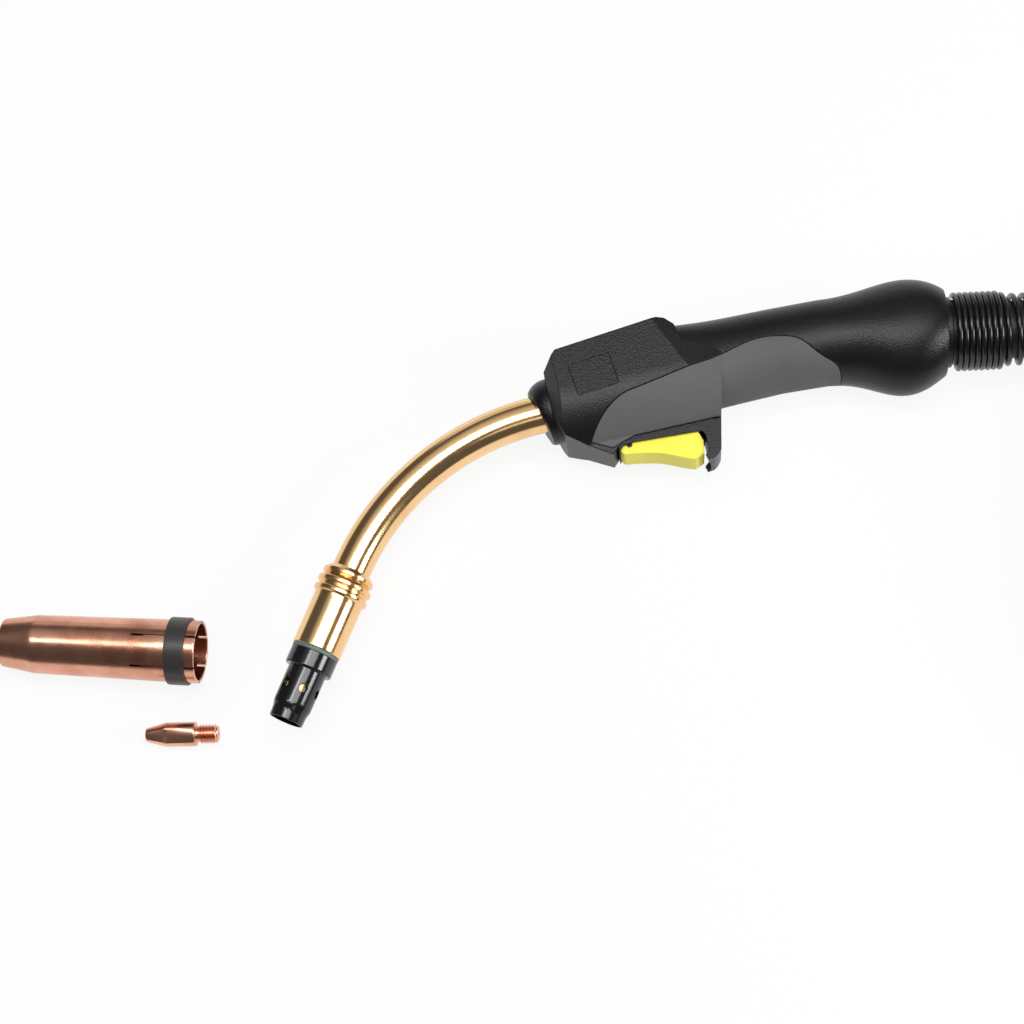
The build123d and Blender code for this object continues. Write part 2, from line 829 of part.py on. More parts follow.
lead_points = [
    spot(terminal_x + 2.8, lead_y),
    spot(terminal_x + 4.0, lead_y),
    spot(lead_level_x, lead_level_y),
    spot(lead_end_x, lead_level_y),
]
with BuildPart() as switch_leads:
    for side in (1, -1):
        with BuildLine() as lead_route:
            Polyline(*[point + Vector(0, 0, side * lead_spread) for point in lead_points])
        with BuildSketch(Plane(origin=lead_route.line @ 0, z_dir=lead_route.line % 0)):
            Circle(lead_radius)
        sweep(path=lead_route.line, transition=Transition.RIGHT)

# ---------------------------------------------------------------------------
# Swan neck
# ---------------------------------------------------------------------------

bend_run = bend_radius * tan(radians(bend_angle / 2))


def bent(outer, inner, back, front):
    """A round tube along the neck, from x = back on the handle axis to a station on the end's axis."""
    with BuildPart() as piece:
        with BuildLine() as route:
            straight = Line(spot(back, 0), spot(corner_x + bend_run, 0))
            arc = JernArc(start=straight @ 1, tangent=straight % 1, radius=bend_radius, arc_size=bend_angle)
            Line(arc @ 1, arc @ 1 + (arc % 1) * (front - bend_run))
        with BuildSketch(Plane(origin=route.line @ 0, z_dir=route.line % 0)):
            Circle(outer)
            Circle(inner, mode=Mode.SUBTRACT)
        sweep(path=route.line)
    return piece.part


with BuildPart() as neck_tube:
    add(bent(neck_radius, neck_radius - neck_wall, neck_back_x, tube_end))
with BuildPart() as neck_insulator:
    add(bent(insulator_outer, insulator_inner, neck_back_x, tube_end + 1.5))
with BuildPart() as neck_core:
    add(bent(core_outer, core_inner, core_back_x, core_end))
with BuildPart() as wire_liner:
    add(bent(liner_outer, liner_inner, liner_back_x, core_end - 0.5))

# Brass socket that holds the neck, its grub screw, and the cable crimped to its spigot
socket_front = rib_stations[0] - 6
socket_back = rib_stations[1] + 8
spigot_back = socket_back + 12
socket_outline = [
    (socket_front, neck_radius + 0.1),
    (socket_front, socket_radius),
    (socket_back, socket_radius),
    (socket_back, spigot_radius),
    (spigot_back, spigot_radius),
    (spigot_back, core_outer + 0.1),
    (neck_back_x + 0.3, core_outer + 0.1),
    (neck_back_x + 0.3, neck_radius + 0.1),
]
grub_x = 20.0
with BuildPart() as neck_socket:
    add(turned(handle_lathe, socket_outline))
    with Locations(spot(grub_x, socket_radius)):
        Cylinder(grub_radius + 0.05, 8, rotation=(90, 0, 0), mode=Mode.SUBTRACT)

with BuildPart() as socket_screw:
    grub_low = neck_radius + 0.3
    grub_high = socket_radius - 0.1
    with Locations(spot(grub_x, (grub_low + grub_high) / 2)):
        Cylinder(grub_radius, grub_high - grub_low, rotation=(90, 0, 0))
    with Locations(spot(grub_x, grub_high)):
        Box(1.6, 2.4, 1.6, mode=Mode.SUBTRACT)

with BuildPart() as core_cable:
    cable_front = socket_back + 2
    with BuildSketch(Plane(origin=spot(cable_front, 0), x_dir=(0, 1, 0), z_dir=(1, 0, 0))):
        Circle(cable_radius)
        Circle(spigot_radius + 0.1, mode=Mode.SUBTRACT)
    extrude(amount=liner_back_x - cable_front)

with BuildPart() as crimp_ferrule:
    with BuildSketch(Plane(origin=spot(socket_back + 4, 0), x_dir=(0, 1, 0), z_dir=(1, 0, 0))):
        Circle(ferrule_radius)
        Circle(cable_radius + 0.2, mode=Mode.SUBTRACT)
    extrude(amount=8)

# ---------------------------------------------------------------------------
# Front end
# ---------------------------------------------------------------------------

ring_crests = [(ring_first, ring_small), (ring_first + ring_pitch, ring_large)]
ring_crests.append((ring_first + 2 * ring_pitch, ring_large))
sleeve_outline = [
    (sleeve_start, neck_radius + seat_gap),
    (sleeve_start, neck_radius + 0.9),
    (ring_first - 1.6, sleeve_radius - 0.6),
]
for station, crest in ring_crests:
    sleeve_outline.append((station - 1.3, crest - 0.7))
    sleeve_outline.append((station - 0.5, crest))
    sleeve_outline.append((station + 0.5, crest))
    sleeve_outline.append((station + 1.3, crest - 0.7))
    sleeve_outline.append((station + ring_pitch / 2, sleeve_radius - 0.6))
sleeve_outline += [
    (ring_first + 2.75 * ring_pitch, sleeve_radius),
    (sleeve_end, sleeve_radius),
    (sleeve_end, insulator_outer + 0.5),
    (tube_end + 0.3, insulator_outer + 0.5),
    (tube_end + 0.3, neck_radius + seat_gap),
]
with BuildPart() as neck_sleeve:
    add(turned(end_lathe, sleeve_outline))

washer_front = sleeve_end + washer_thickness
with BuildPart() as sleeve_washer:
    washer_bore = insulator_outer + 0.5
    add(
        turned(
            end_lathe,
            [
                (sleeve_end, washer_bore),
                (sleeve_end, washer_radius),
                (washer_front, washer_radius),
                (washer_front, washer_bore),
            ],
        )
    )

diffuser_front = washer_front + diffuser_length
flange_front = washer_front + flange_length
diffuser_outline = [
    (washer_front, holder_flange + seat_gap),
    (washer_front, washer_radius),
    (flange_front - 0.6, washer_radius),
    (flange_front, washer_radius - 0.6),
    (flange_front, diffuser_radius),
    (diffuser_front - 6.2, diffuser_radius),
    (diffuser_front - 5.4, mouth_outer),
    (diffuser_front, mouth_outer),
    (diffuser_front, mouth_outer - mouth_wall),
    (washer_front + 3.0, diffuser_bore),
    (washer_front + 3.0, holder_flange + seat_gap),
]
end_axis_x = end_lathe.x_dir
with BuildPart() as gas_diffuser:
    add(turned(end_lathe, diffuser_outline))
    hole_centre = end_lathe.origin + end_axis_x * (washer_front + gas_hole_station)
    for index in range(gas_hole_count):
        turn = radians(gas_hole_phase + index * 360 / gas_hole_count)
        way = end_lathe.y_dir * cos(turn) + end_lathe.z_dir * sin(turn)
        with BuildSketch(Plane(origin=hole_centre + way * holder_radius, z_dir=way)):
            Circle(gas_hole_radius)
        extrude(amount=6, mode=Mode.SUBTRACT)

holder_start = tube_end + 2.3
holder_front = diffuser_front - 8.7
with BuildPart() as tip_holder:
    add(
        turned(
            end_lathe,
            [
                (holder_start, core_outer + 0.3),
                (holder_start, insulator_outer),
                (washer_front + 0.2, insulator_outer),
                (washer_front + 0.2, holder_flange),
                (washer_front + 2.8, holder_flange),
                (washer_front + 2.8, holder_radius),
                (holder_front, holder_radius),
                (holder_front, thread_bore),
                (holder_front - thread_depth, thread_bore),
                (holder_front - thread_depth, wire_bore),
                (core_end + 0.3, wire_bore),
                (core_end + 0.3, core_outer + 0.3),
            ],
        )
    )

# ---------------------------------------------------------------------------
# Loose gas nozzle and contact tip
# ---------------------------------------------------------------------------

slit_start = nozzle_length - slit_length
with BuildPart() as gas_nozzle:
    add(
        turned(
            nozzle_lathe,
            [
                (0, nozzle_mouth_bore),
                (0, nozzle_mouth_outer - 0.4),
                (0.5, nozzle_mouth_outer),
                (nozzle_taper, nozzle_body),
                (band_front, nozzle_rear),
                (nozzle_length, nozzle_rear),
                (nozzle_length, nozzle_bore),
                (slit_start, nozzle_bore),
                (slit_start, nozzle_bore - 0.6),
                (nozzle_taper + 2, nozzle_bore - 0.6),
                (nozzle_taper - 4, nozzle_bore - 1.6),
            ],
        )
    )
    for index in range(slit_count // 2):
        slit_plane = nozzle_lathe.rotated((slit_phase + index * 360 / slit_count, 0, 0))
        with BuildSketch(slit_plane):
            with Locations((slit_start + slit_length / 2 + 1, 0)):
                Rectangle(slit_length + 2, 4 * nozzle_rear)
        extrude(amount=slit_width / 2, both=True, mode=Mode.SUBTRACT)

with BuildPart() as nozzle_band:
    add(
        turned(
            nozzle_lathe,
            [
                (band_front, nozzle_rear + 0.15),
                (band_front, band_radius - 0.3),
                (band_front + 0.3, band_radius),
                (band_rear - 0.3, band_radius),
                (band_rear, band_radius - 0.3),
                (band_rear, nozzle_rear + 0.15),
            ],
        )
    )

thread_start = tip_body_end + 2.1
with BuildPart() as contact_tip:
    add(
        turned(
            tip_lathe,
            [
                (0, tip_bore),
                (0, tip_front_radius),
                (tip_cone, tip_radius),
                (tip_body_end, tip_radius),
                (tip_body_end, tip_thread_radius - 0.65),
                (thread_start, tip_thread_radius - 0.65),
                (thread_start, tip_thread_radius),
                (tip_length - 0.6, tip_thread_radius),
                (tip_length, tip_thread_radius - 0.6),
                (tip_length, tip_bore),
            ],
        )
    )
    for side in (1, -1):
        with BuildSketch(tip_lathe.rotated((flats_phase, 0, 0)).offset(side * (tip_flats / 2 + 5))):
            with Locations((flats_start + flats_length / 2, 0)):
                Rectangle(flats_length, 20)
        extrude(amount=5, both=True, mode=Mode.SUBTRACT)

# ---------------------------------------------------------------------------
# Ball, support spring and cable
# ---------------------------------------------------------------------------

ball_front_radius = sqrt(ball_radius**2 - ball_front**2)
ball_join = sqrt(ball_radius**2 - ball_spigot**2)
with BuildPart() as knuckle_ball:
    with BuildSketch(cable_lathe):
        with BuildLine():
            ThreePointArc((ball_front, ball_front_radius), (0, ball_radius), (ball_join, ball_spigot))
            Polyline(
                (ball_join, ball_spigot),
                (collar_start, ball_spigot),
                (collar_start, ball_collar),
                (collar_end, ball_collar),
                (collar_end, ball_spigot),
                (ball_back, ball_spigot),
                (ball_back, ball_bore),
                (ball_front, ball_bore),
                (ball_front, ball_front_radius),
            )
        make_face()
    revolve(axis=turning_axis(cable_lathe))

tight_pitch = spring_wire
tight_end = spring_start + tight_turns * tight_pitch
open_pitch = (spring_end - tight_end) / open_turns
spring_outline = [(spring_start, ball_spigot + 0.1)]
for turn in range(tight_turns):
    station = spring_start + turn * tight_pitch
    spring_outline.append((station, tight_radius - 1.0))
    spring_outline.append((station + 0.7, tight_radius))
    spring_outline.append((station + tight_pitch - 0.7, tight_radius))
for turn in range(open_turns):
    station = tight_end + turn * open_pitch
    spring_outline.append((station, open_radius - 1.6))
    spring_outline.append((station + open_pitch - spring_wire, open_radius - 1.6))
    spring_outline.append((station + open_pitch - spring_wire + 0.6, open_radius))
    spring_outline.append((station + open_pitch - 0.6, open_radius))
spring_outline += [
    (spring_end, open_radius - 1.0),
    (spring_end, hose_radius + seat_gap),
    (ball_back + seat_gap, hose_radius + seat_gap),
    (ball_back + seat_gap, ball_spigot + 0.1),
]
with BuildPart() as support_spring:
    add(turned(cable_lathe, spring_outline))


def cord(points):
    """A round cable on straight runs joined by tangent arcs; prints the arcs' radii and its length."""
    radii = []
    for before, corner, after in zip(points, points[1:], points[2:]):
        half_turn = radians((corner - before).get_angle(after - corner)) / 2
        radii.append(0.45 * min((corner - before).length, (after - corner).length) / tan(half_turn))
    with BuildPart() as piece:
        with BuildLine() as route:
            FilletPolyline(*points, radius=radii)
        with BuildSketch(Plane(origin=route.line @ 0, z_dir=route.line % 0)):
            Circle(hose_radius)
        sweep(path=route.line)
    length = sum(edge.length for edge in route.edges())
    filled = piece.part.volume / (pi * hose_radius**2 * length)
    print("cord arcs", [round(radius) for radius in radii], "length", round(length), "filled", round(filled, 4))
    return piece.part


# The cable sags a little in its spring, comes down to the bench and runs in along the coil's turn.
cable_way = cable_lathe.x_dir
hose_points = [
    cable_lathe.origin + cable_way * 3,
    cable_lathe.origin + cable_way * 46 - Vector(0, 0, 0.2),
    cable_lathe.origin + cable_way * 92,
    spot(landing_x, landing_y, hose_radius - axis_height),
    spot(entry_x, entry_y, hose_radius - axis_height),
]
with BuildPart() as hose:
    add(cord(hose_points))

with BuildPart() as hose_coil:
    with BuildSketch(Plane(origin=spot(coil_x, coil_y, -axis_height), x_dir=(1, 0, 0), z_dir=(0, -1, 0))):
        with Locations((coil_radius, coil_height / 2)):
            RectangleRounded(coil_width, coil_height, coil_corner)
    revolve(axis=Axis(spot(coil_x, coil_y), (0, 0, 1)))


def tail_spot(angle, height):
    """A corner of the tail at an angle about its bend's centre and a height over the bench."""
    turn = radians(angle)
    reach = tail_bend / cos(radians(tail_step / 2))
    return spot(tail_x + reach * cos(turn), tail_y + reach * sin(turn), height - axis_height)


# The tail leaves the coil's top turn, climbs, and runs straight into the connector.
tail_run = 2 * tail_bend * tan(radians(tail_step / 2))
tail_points = []
for index, height in enumerate(tail_heights + (connector_height,)):
    tail_points.append(tail_spot(tail_start - index * tail_step, height))
tail_points.append(tail_points[-1] - Vector(0, tail_run, 0))
with BuildPart() as hose_tail:
    add(cord(tail_points))

# ---------------------------------------------------------------------------
# Connector
# ---------------------------------------------------------------------------

plug_lathe = lathe_plane(connector_x, connector_y, -90, connector_height - axis_height)
hose_bore = hose_radius + seat_gap
boot_outline = [
    (0, hose_bore),
    (0, hose_bore + 2.2),
    (housing_start - 1, boot_radius),
    (boot_length, boot_radius),
    (boot_length, hose_bore),
]
with BuildPart() as connector_boot:
    add(turned(plug_lathe, boot_outline))

shell_bore = connector_radius - connector_wall
with BuildPart() as connector_housing:
    add(
        turned(
            plug_lathe,
            [
                (housing_start, boot_radius + seat_gap),
                (housing_start, boot_radius + 1.8),
                (housing_start + 8, connector_radius),
                (housing_end - 1.5, connector_radius),
                (housing_end, connector_radius - 1),
                (housing_end, shell_bore),
                (boot_length + 1, shell_bore),
                (boot_length + 1, boot_radius + seat_gap),
            ],
        )
    )

nut_start = housing_end + 0.7
groove_start = housing_end + 6.6
with BuildPart() as connector_body:
    guide_bore = guide_outer + seat_gap
    add(
        turned(
            plug_lathe,
            [
                (body_start, guide_bore),
                (body_start, shell_bore - seat_gap),
                (housing_end, shell_bore - seat_gap),
                (housing_end, body_neck),
                (groove_start, body_neck),
                (groove_start, body_flange),
                (groove_start + 3, body_flange),
                (groove_start + 3, face_radius),
                (face_station, face_radius),
                (face_station, nose_pin_radius),
                (seal_station - seal_half, nose_pin_radius),
                (seal_station - seal_half, seal_groove),
                (seal_station + seal_half, seal_groove),
                (seal_station + seal_half, nose_pin_radius),
                (nose_pin_end - 1, nose_pin_radius),
                (nose_pin_end, nose_pin_radius - 1),
                (nose_pin_end, guide_bore),
            ],
        )
    )
    for side in (1, -1):
        pin_spot = plug_lathe.origin + plug_lathe.x_dir * face_station + Vector(side * signal_pin_circle, 0, 0)
        with BuildSketch(Plane(origin=pin_spot, z_dir=plug_lathe.x_dir)):
            Circle(signal_pin_radius + 0.05)
        extrude(amount=-6, mode=Mode.SUBTRACT)

with BuildPart() as connector_pins:
    for side in (1, -1):
        pin_spot = plug_lathe.origin + plug_lathe.x_dir * face_station + Vector(side * signal_pin_circle, 0, 0)
        with BuildSketch(Plane(origin=pin_spot, z_dir=plug_lathe.x_dir).offset(-5.7)):
            Circle(signal_pin_radius)
        extrude(amount=13)

with BuildPart() as guide_tube:
    with BuildSketch(Plane(origin=plug_lathe.origin, z_dir=plug_lathe.x_dir).offset(body_start)):
        Circle(guide_outer)
        Circle(guide_inner, mode=Mode.SUBTRACT)
    extrude(amount=guide_end - body_start)

with BuildPart() as connector_oring:
    add(
        turned(
            plug_lathe,
            [
                (seal_station - 0.9, seal_groove + 0.1),
                (seal_station - 0.9, seal_radius - 0.5),
                (seal_station - 0.4, seal_radius),
                (seal_station + 0.4, seal_radius),
                (seal_station + 0.9, seal_radius - 0.5),
                (seal_station + 0.9, seal_groove + 0.1),
            ],
        )
    )

with BuildPart() as connector_nut:
    nut_bore = body_flange + 0.4
    add(
        turned(
            plug_lathe,
            [
                (nut_start, body_neck + fit_gap),
                (nut_start, nut_radius - 1),
                (nut_start + 1, nut_radius),
                (nut_end - 1, nut_radius),
                (nut_end, nut_radius - 1),
                (nut_end, nut_bore),
                (groove_start - seat_gap, nut_bore),
                (groove_start - seat_gap, body_neck + fit_gap),
            ],
        )
    )
    for index in range(nut_grooves):
        turn = 2 * pi * index / nut_grooves
        side = Vector(cos(turn), 0, sin(turn)) * (nut_radius + 1.2)
        with BuildSketch(Plane(origin=plug_lathe.origin + side, z_dir=plug_lathe.x_dir).offset(nut_start)):
            Circle(2.6)
        extrude(amount=nut_end - nut_start, mode=Mode.SUBTRACT)

# ---------------------------------------------------------------------------
# Names and files
# ---------------------------------------------------------------------------

handle_shell_left.part.label = "handle_shell_left"
handle_shell_right.part.label = "handle_shell_right"
grip_inlay_left.part.label = "grip_inlay_left"
grip_inlay_right.part.label = "grip_inlay_right"
handle_screw.part.label = "handle_screw"
neck_collar.part.label = "neck_collar"
trigger_bezel.part.label = "trigger_bezel"
trigger.part.label = "trigger"
trigger_pin.part.label = "trigger_pin"
trigger_spring.part.label = "trigger_spring"
microswitch.part.label = "microswitch"
switch_plunger.part.label = "switch_plunger"
switch_terminals.part.label = "switch_terminals"
switch_leads.part.label = "switch_leads"
neck_tube.part.label = "neck_tube"
neck_insulator.part.label = "neck_insulator"
neck_core.part.label = "neck_core"
wire_liner.part.label = "wire_liner"
neck_socket.part.label = "neck_socket"
socket_screw.part.label = "socket_screw"
core_cable.part.label = "core_cable"
crimp_ferrule.part.label = "crimp_ferrule"
neck_sleeve.part.label = "neck_sleeve"
sleeve_washer.part.label = "sleeve_washer"
gas_diffuser.part.label = "gas_diffuser"
tip_holder.part.label = "tip_holder"
gas_nozzle.part.label = "gas_nozzle"
nozzle_band.part.label = "nozzle_band"
contact_tip.part.label = "contact_tip"
knuckle_ball.part.label = "knuckle_ball"
support_spring.part.label = "support_spring"
hose.part.label = "hose"
hose_coil.part.label = "hose_coil"
hose_tail.part.label = "hose_tail"
connector_boot.part.label = "connector_boot"
connector_housing.part.label = "connector_housing"
connector_body.part.label = "connector_body"
connector_pins.part.label = "connector_pins"
guide_tube.part.label = "guide_tube"
connector_oring.part.label = "connector_oring"
connector_nut.part.label = "connector_nut"

export_step(handle_shell_left.part, "parts/handle_shell_left.step")
export_step(handle_shell_right.part, "parts/handle_shell_right.step")
export_step(grip_inlay_left.part, "parts/grip_inlay_left.step")
export_step(grip_inlay_right.part, "parts/grip_inlay_right.step")
export_step(handle_screw.part, "parts/handle_screw.step")
export_step(neck_collar.part, "parts/neck_collar.step")
export_step(trigger_bezel.part, "parts/trigger_bezel.step")
export_step(trigger.part, "parts/trigger.step")
export_step(trigger_pin.part, "parts/trigger_pin.step")
export_step(trigger_spring.part, "parts/trigger_spring.step")
export_step(microswitch.part, "parts/microswitch.step")
export_step(switch_plunger.part, "parts/switch_plunger.step")
export_step(switch_terminals.part, "parts/switch_terminals.step")
export_step(switch_leads.part, "parts/switch_leads.step")
export_step(neck_tube.part, "parts/neck_tube.step")
export_step(neck_insulator.part, "parts/neck_insulator.step")
export_step(neck_core.part, "parts/neck_core.step")
export_step(wire_liner.part, "parts/wire_liner.step")
export_step(neck_socket.part, "parts/neck_socket.step")
export_step(socket_screw.part, "parts/socket_screw.step")
export_step(core_cable.part, "parts/core_cable.step")
export_step(crimp_ferrule.part, "parts/crimp_ferrule.step")
export_step(neck_sleeve.part, "parts/neck_sleeve.step")
export_step(sleeve_washer.part, "parts/sleeve_washer.step")
export_step(gas_diffuser.part, "parts/gas_diffuser.step")
export_step(tip_holder.part, "parts/tip_holder.step")
export_step(gas_nozzle.part, "parts/gas_nozzle.step")
export_step(nozzle_band.part, "parts/nozzle_band.step")
export_step(contact_tip.part, "parts/contact_tip.step")
export_step(knuckle_ball.part, "parts/knuckle_ball.step")
export_step(support_spring.part, "parts/support_spring.step")
export_step(hose.part, "parts/hose.step")
export_step(hose_coil.part, "parts/hose_coil.step")
export_step(hose_tail.part, "parts/hose_tail.step")
export_step(connector_boot.part, "parts/connector_boot.step")
export_step(connector_housing.part, "parts/connector_housing.step")
export_step(connector_body.part, "parts/connector_body.step")
export_step(connector_pins.part, "parts/connector_pins.step")
export_step(guide_tube.part, "parts/guide_tube.step")
export_step(connector_oring.part, "parts/connector_oring.step")
export_step(connector_nut.part, "parts/connector_nut.step")
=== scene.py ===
# %% [markdown]
# # A MIG welding torch, laid out on a bench
# The torch is a moulded two-part handle with soft grey grip inlays, a curved brass neck with a
# ringed sleeve and a black gas diffuser, a ball joint with a wound support spring, and a cable.
# Its copper gas nozzle and contact tip lie loose beside it. The imported model is the frame, and each
# surface made here rides on one of its bodies.
# %% The frame and the tools
import json
from math import atan, atan2, cos, degrees, pi, radians, sin, sqrt, tan

import bmesh
import bpy
import numpy as np
from mathutils import Matrix, Vector


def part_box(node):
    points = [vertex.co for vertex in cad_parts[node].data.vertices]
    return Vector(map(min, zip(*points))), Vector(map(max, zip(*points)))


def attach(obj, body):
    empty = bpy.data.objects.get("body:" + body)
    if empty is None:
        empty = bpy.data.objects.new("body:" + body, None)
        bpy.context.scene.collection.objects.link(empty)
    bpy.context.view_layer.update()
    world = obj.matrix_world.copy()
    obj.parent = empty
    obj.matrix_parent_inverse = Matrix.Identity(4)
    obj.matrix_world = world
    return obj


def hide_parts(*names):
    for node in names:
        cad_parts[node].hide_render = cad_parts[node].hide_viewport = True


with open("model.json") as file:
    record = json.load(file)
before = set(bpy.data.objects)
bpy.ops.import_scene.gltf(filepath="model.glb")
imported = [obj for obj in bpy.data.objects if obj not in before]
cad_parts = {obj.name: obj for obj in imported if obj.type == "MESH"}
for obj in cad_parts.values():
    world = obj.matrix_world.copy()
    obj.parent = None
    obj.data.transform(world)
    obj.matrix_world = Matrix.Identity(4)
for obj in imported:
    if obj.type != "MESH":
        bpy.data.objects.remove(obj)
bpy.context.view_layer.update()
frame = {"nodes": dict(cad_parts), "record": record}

MM = 0.001
nodes = frame["nodes"]

# %% [markdown]
# ## Where things are
# All the sizes below are millimetres from the handle's datum: its axis at the front of the housing,
# with X towards the cable, Y towards the handle's back and Z up. The torch lies on its side, so the
# parting plane of its two shells is level, at the height of the handle's axis. The datum's place in
# the frame comes from two nodes whose ends are plain: the brass socket and the bench itself.
# %% Datum and frames
socket_low, socket_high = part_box("neck_socket")
socket_front = 8.0
datum = Vector(
    (
        socket_low[0] / MM - socket_front,
        (socket_low[1] + socket_high[1]) / 2 / MM,
        (socket_low[2] + socket_high[2]) / 2 / MM,
    )
)
axis_height = datum.z
print("datum, mm:", [round(value, 2) for value in datum])


def from_datum(points):
    """Points in millimetres from the datum, as an array in metres in the row frame."""
    return (np.asarray(points, float) + np.array(datum)) * MM


def axis_frame(x, y, heading, height=None, climb=0.0):
    """Origin, axis and two radial directions of a turned piece. Its axis points along (cos h, sin h) for a
    heading h in degrees, and climbs by an angle; its height is above the bench, or the datum's if None."""
    turn, rise = radians(heading), radians(climb)
    origin = np.array([x, y, 0.0 if height is None else height - axis_height])
    axis = np.array([cos(turn) * cos(rise), sin(turn) * cos(rise), sin(rise)])
    side = np.array([-sin(turn), cos(turn), 0.0])
    return origin, axis, side, np.cross(axis, side)


bend_angle, bend_radius, corner_x = 55.6, 110.0, -60.0
cable_heading, knuckle_x, knuckle_y = -10.7, 150.0, -0.4
handle_frame = axis_frame(0, 0, 0)
end_frame = axis_frame(corner_x, 0, 180 + bend_angle)
cable_frame = axis_frame(knuckle_x, knuckle_y, cable_heading)
print("axes: the handle's, one at", 180 + bend_angle, "and one at", cable_heading, "degrees")

# %% [markdown]
# ## The camera
# The camera looks down steeply at the bench and is rolled a little about its line of sight, with a
# long lens from about a metre away. It comes first, because the cable that isn't in view has to lie
# outside what it sees.
# %% The camera
camera_elevation, camera_roll = radians(73), radians(12.7)
camera_place = (-23.3, -327.8, 966.5 - axis_height)
sight = np.array([0, cos(camera_elevation), -sin(camera_elevation)])
upright = np.array([0, sin(camera_elevation), cos(camera_elevation)])
across = np.array([1.0, 0, 0])
camera_right = cos(camera_roll) * across - sin(camera_roll) * upright
camera_up = sin(camera_roll) * across + cos(camera_roll) * upright
camera_data = bpy.data.cameras.new("camera")
camera_data.sensor_width = 36.0
camera_data.lens = 84.4
camera_data.clip_end = 20.0
camera = bpy.data.objects.new("camera", camera_data)
bpy.context.scene.collection.objects.link(camera)
camera_turn = np.stack([camera_right, camera_up, -sight], axis=1)
rows = [[*row, place] for row, place in zip(camera_turn, from_datum(camera_place))]
camera.matrix_world = Matrix([*rows, [0, 0, 0, 1]])
bpy.context.scene.camera = camera
print("camera:", round(float(np.linalg.norm(camera_place))), "mm from the datum, looking down steeply")

# %% [markdown]
# ## The cable
# A torch cable is a stout hose, 24 mm across, that carries gas, wire and current. It leaves the
# handle's ball, runs straight through the support spring, comes down to the bench and winds into a
# coil of two turns beside each other and two layers, and ends in the machine connector, which lies
# on the coil. One NURBS curve follows the whole way: points listed where it runs free, and
# points worked out for the turns. Such a curve of order 3 touches its straight lines halfway between
# its points, so the points of a turn lie a little outside it: at its radius / cos(half a step).
# %% The cable's route
hose_radius = 12.0
coil_x, coil_y = 357.8, -153.4
cable_origin, cable_axis = cable_frame[0], cable_frame[1]
hose_points = np.array(
    [
        cable_origin + 3 * cable_axis,
        cable_origin + 46 * cable_axis - np.array([0, 0, 0.2]),
        cable_origin + 92 * cable_axis,
        (295.8, -18.0, hose_radius - axis_height),
        (340.5, -12.5, hose_radius - axis_height),
    ]
)
start = hose_points[-1] - (coil_x, coil_y, 0)
start_angle, start_reach = degrees(atan2(start[1], start[0])), sqrt(start[0] ** 2 + start[1] ** 2)
tail_angle, tail_step, tail_bend = 132.0, 24.0, 137.0
tail_x, tail_y = coil_x - 8.0, coil_y + 2.0
whole_turns = 3
outer_turn, inner_turn = 142, 118
lower_layer, upper_layer = hose_radius, 3 * hose_radius
swept = start_angle - tail_angle + 360 * whole_turns
turn_marks = np.array([0, 0.8, 1.0, 1.75, 1.95, 2.6, 2.85, 3.0])
reach_marks = [start_reach, outer_turn, *[inner_turn] * 4, outer_turn, outer_turn + 2]
height_marks = [*[lower_layer] * 4, upper_layer, upper_layer, upper_layer - 1, upper_layer - 2]
points_per_turn = 24
along = np.arange(1, int(swept / 360 * points_per_turn)) / points_per_turn
turn_angles = np.radians(start_angle - 360 * along)
reach = np.interp(along, turn_marks, reach_marks) / cos(pi / points_per_turn)
turn_points = np.stack(
    [
        coil_x + reach * np.cos(turn_angles),
        coil_y + reach * np.sin(turn_angles),
        np.interp(along, turn_marks, height_marks) - axis_height,
    ],
    axis=1,
)
connector_height = 73.0
tail_heights = np.array([upper_layer - 2, 39.5, 49.5, 60, 68.5, connector_height])
tail_angles = np.radians(tail_angle - tail_step * np.arange(len(tail_heights)))
tail_reach = tail_bend / cos(radians(tail_step / 2))
tail_points = np.stack(
    [
        tail_x + tail_reach * np.cos(tail_angles),
        tail_y + tail_reach * np.sin(tail_angles),
        tail_heights - axis_height,
    ],
    axis=1,
)
tail_run = 2 * tail_bend * tan(radians(tail_step / 2))
tail_points = np.vstack([tail_points, tail_points[-1] - (0, tail_run, 0)])
route = from_datum(np.vstack([hose_points, turn_points, tail_points]))

cable_curve = bpy.data.curves.new("cable", "CURVE")
cable_curve.dimensions = "3D"
spline = cable_curve.splines.new("NURBS")
spline.points.add(len(route) - 1)
spline.points.foreach_set("co", np.hstack([route, np.ones((len(route), 1))]).ravel())
spline.points.foreach_set("radius", np.full(len(route), hose_radius * MM))
spline.order_u = 3
spline.use_endpoint_u = True
spline.resolution_u = 6
cable = bpy.data.objects.new("cable", cable_curve)
bpy.context.scene.collection.objects.link(cable)
line = bpy.data.meshes.new_from_object(cable)
line_points = np.empty(3 * len(line.vertices))
line.vertices.foreach_get("co", line_points)
line_points = line_points.reshape(-1, 3)
cable_curve.bevel_depth = 1.0
cable_curve.bevel_resolution = 6
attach(cable, "cable")
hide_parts("hose", "hose_coil", "hose_tail")

# %% [markdown]
# ## How a surface becomes a mesh
# Most pieces of a torch are turned on a lathe or drawn as tubes. Both are a grid of points: rows
# along the piece, columns round it. numpy works the whole grid out at once, and the mesh takes it
# in with foreach_set, which is quick and keeps every face a quad.
# %% From a grid to a mesh
sharp_angle = radians(32)


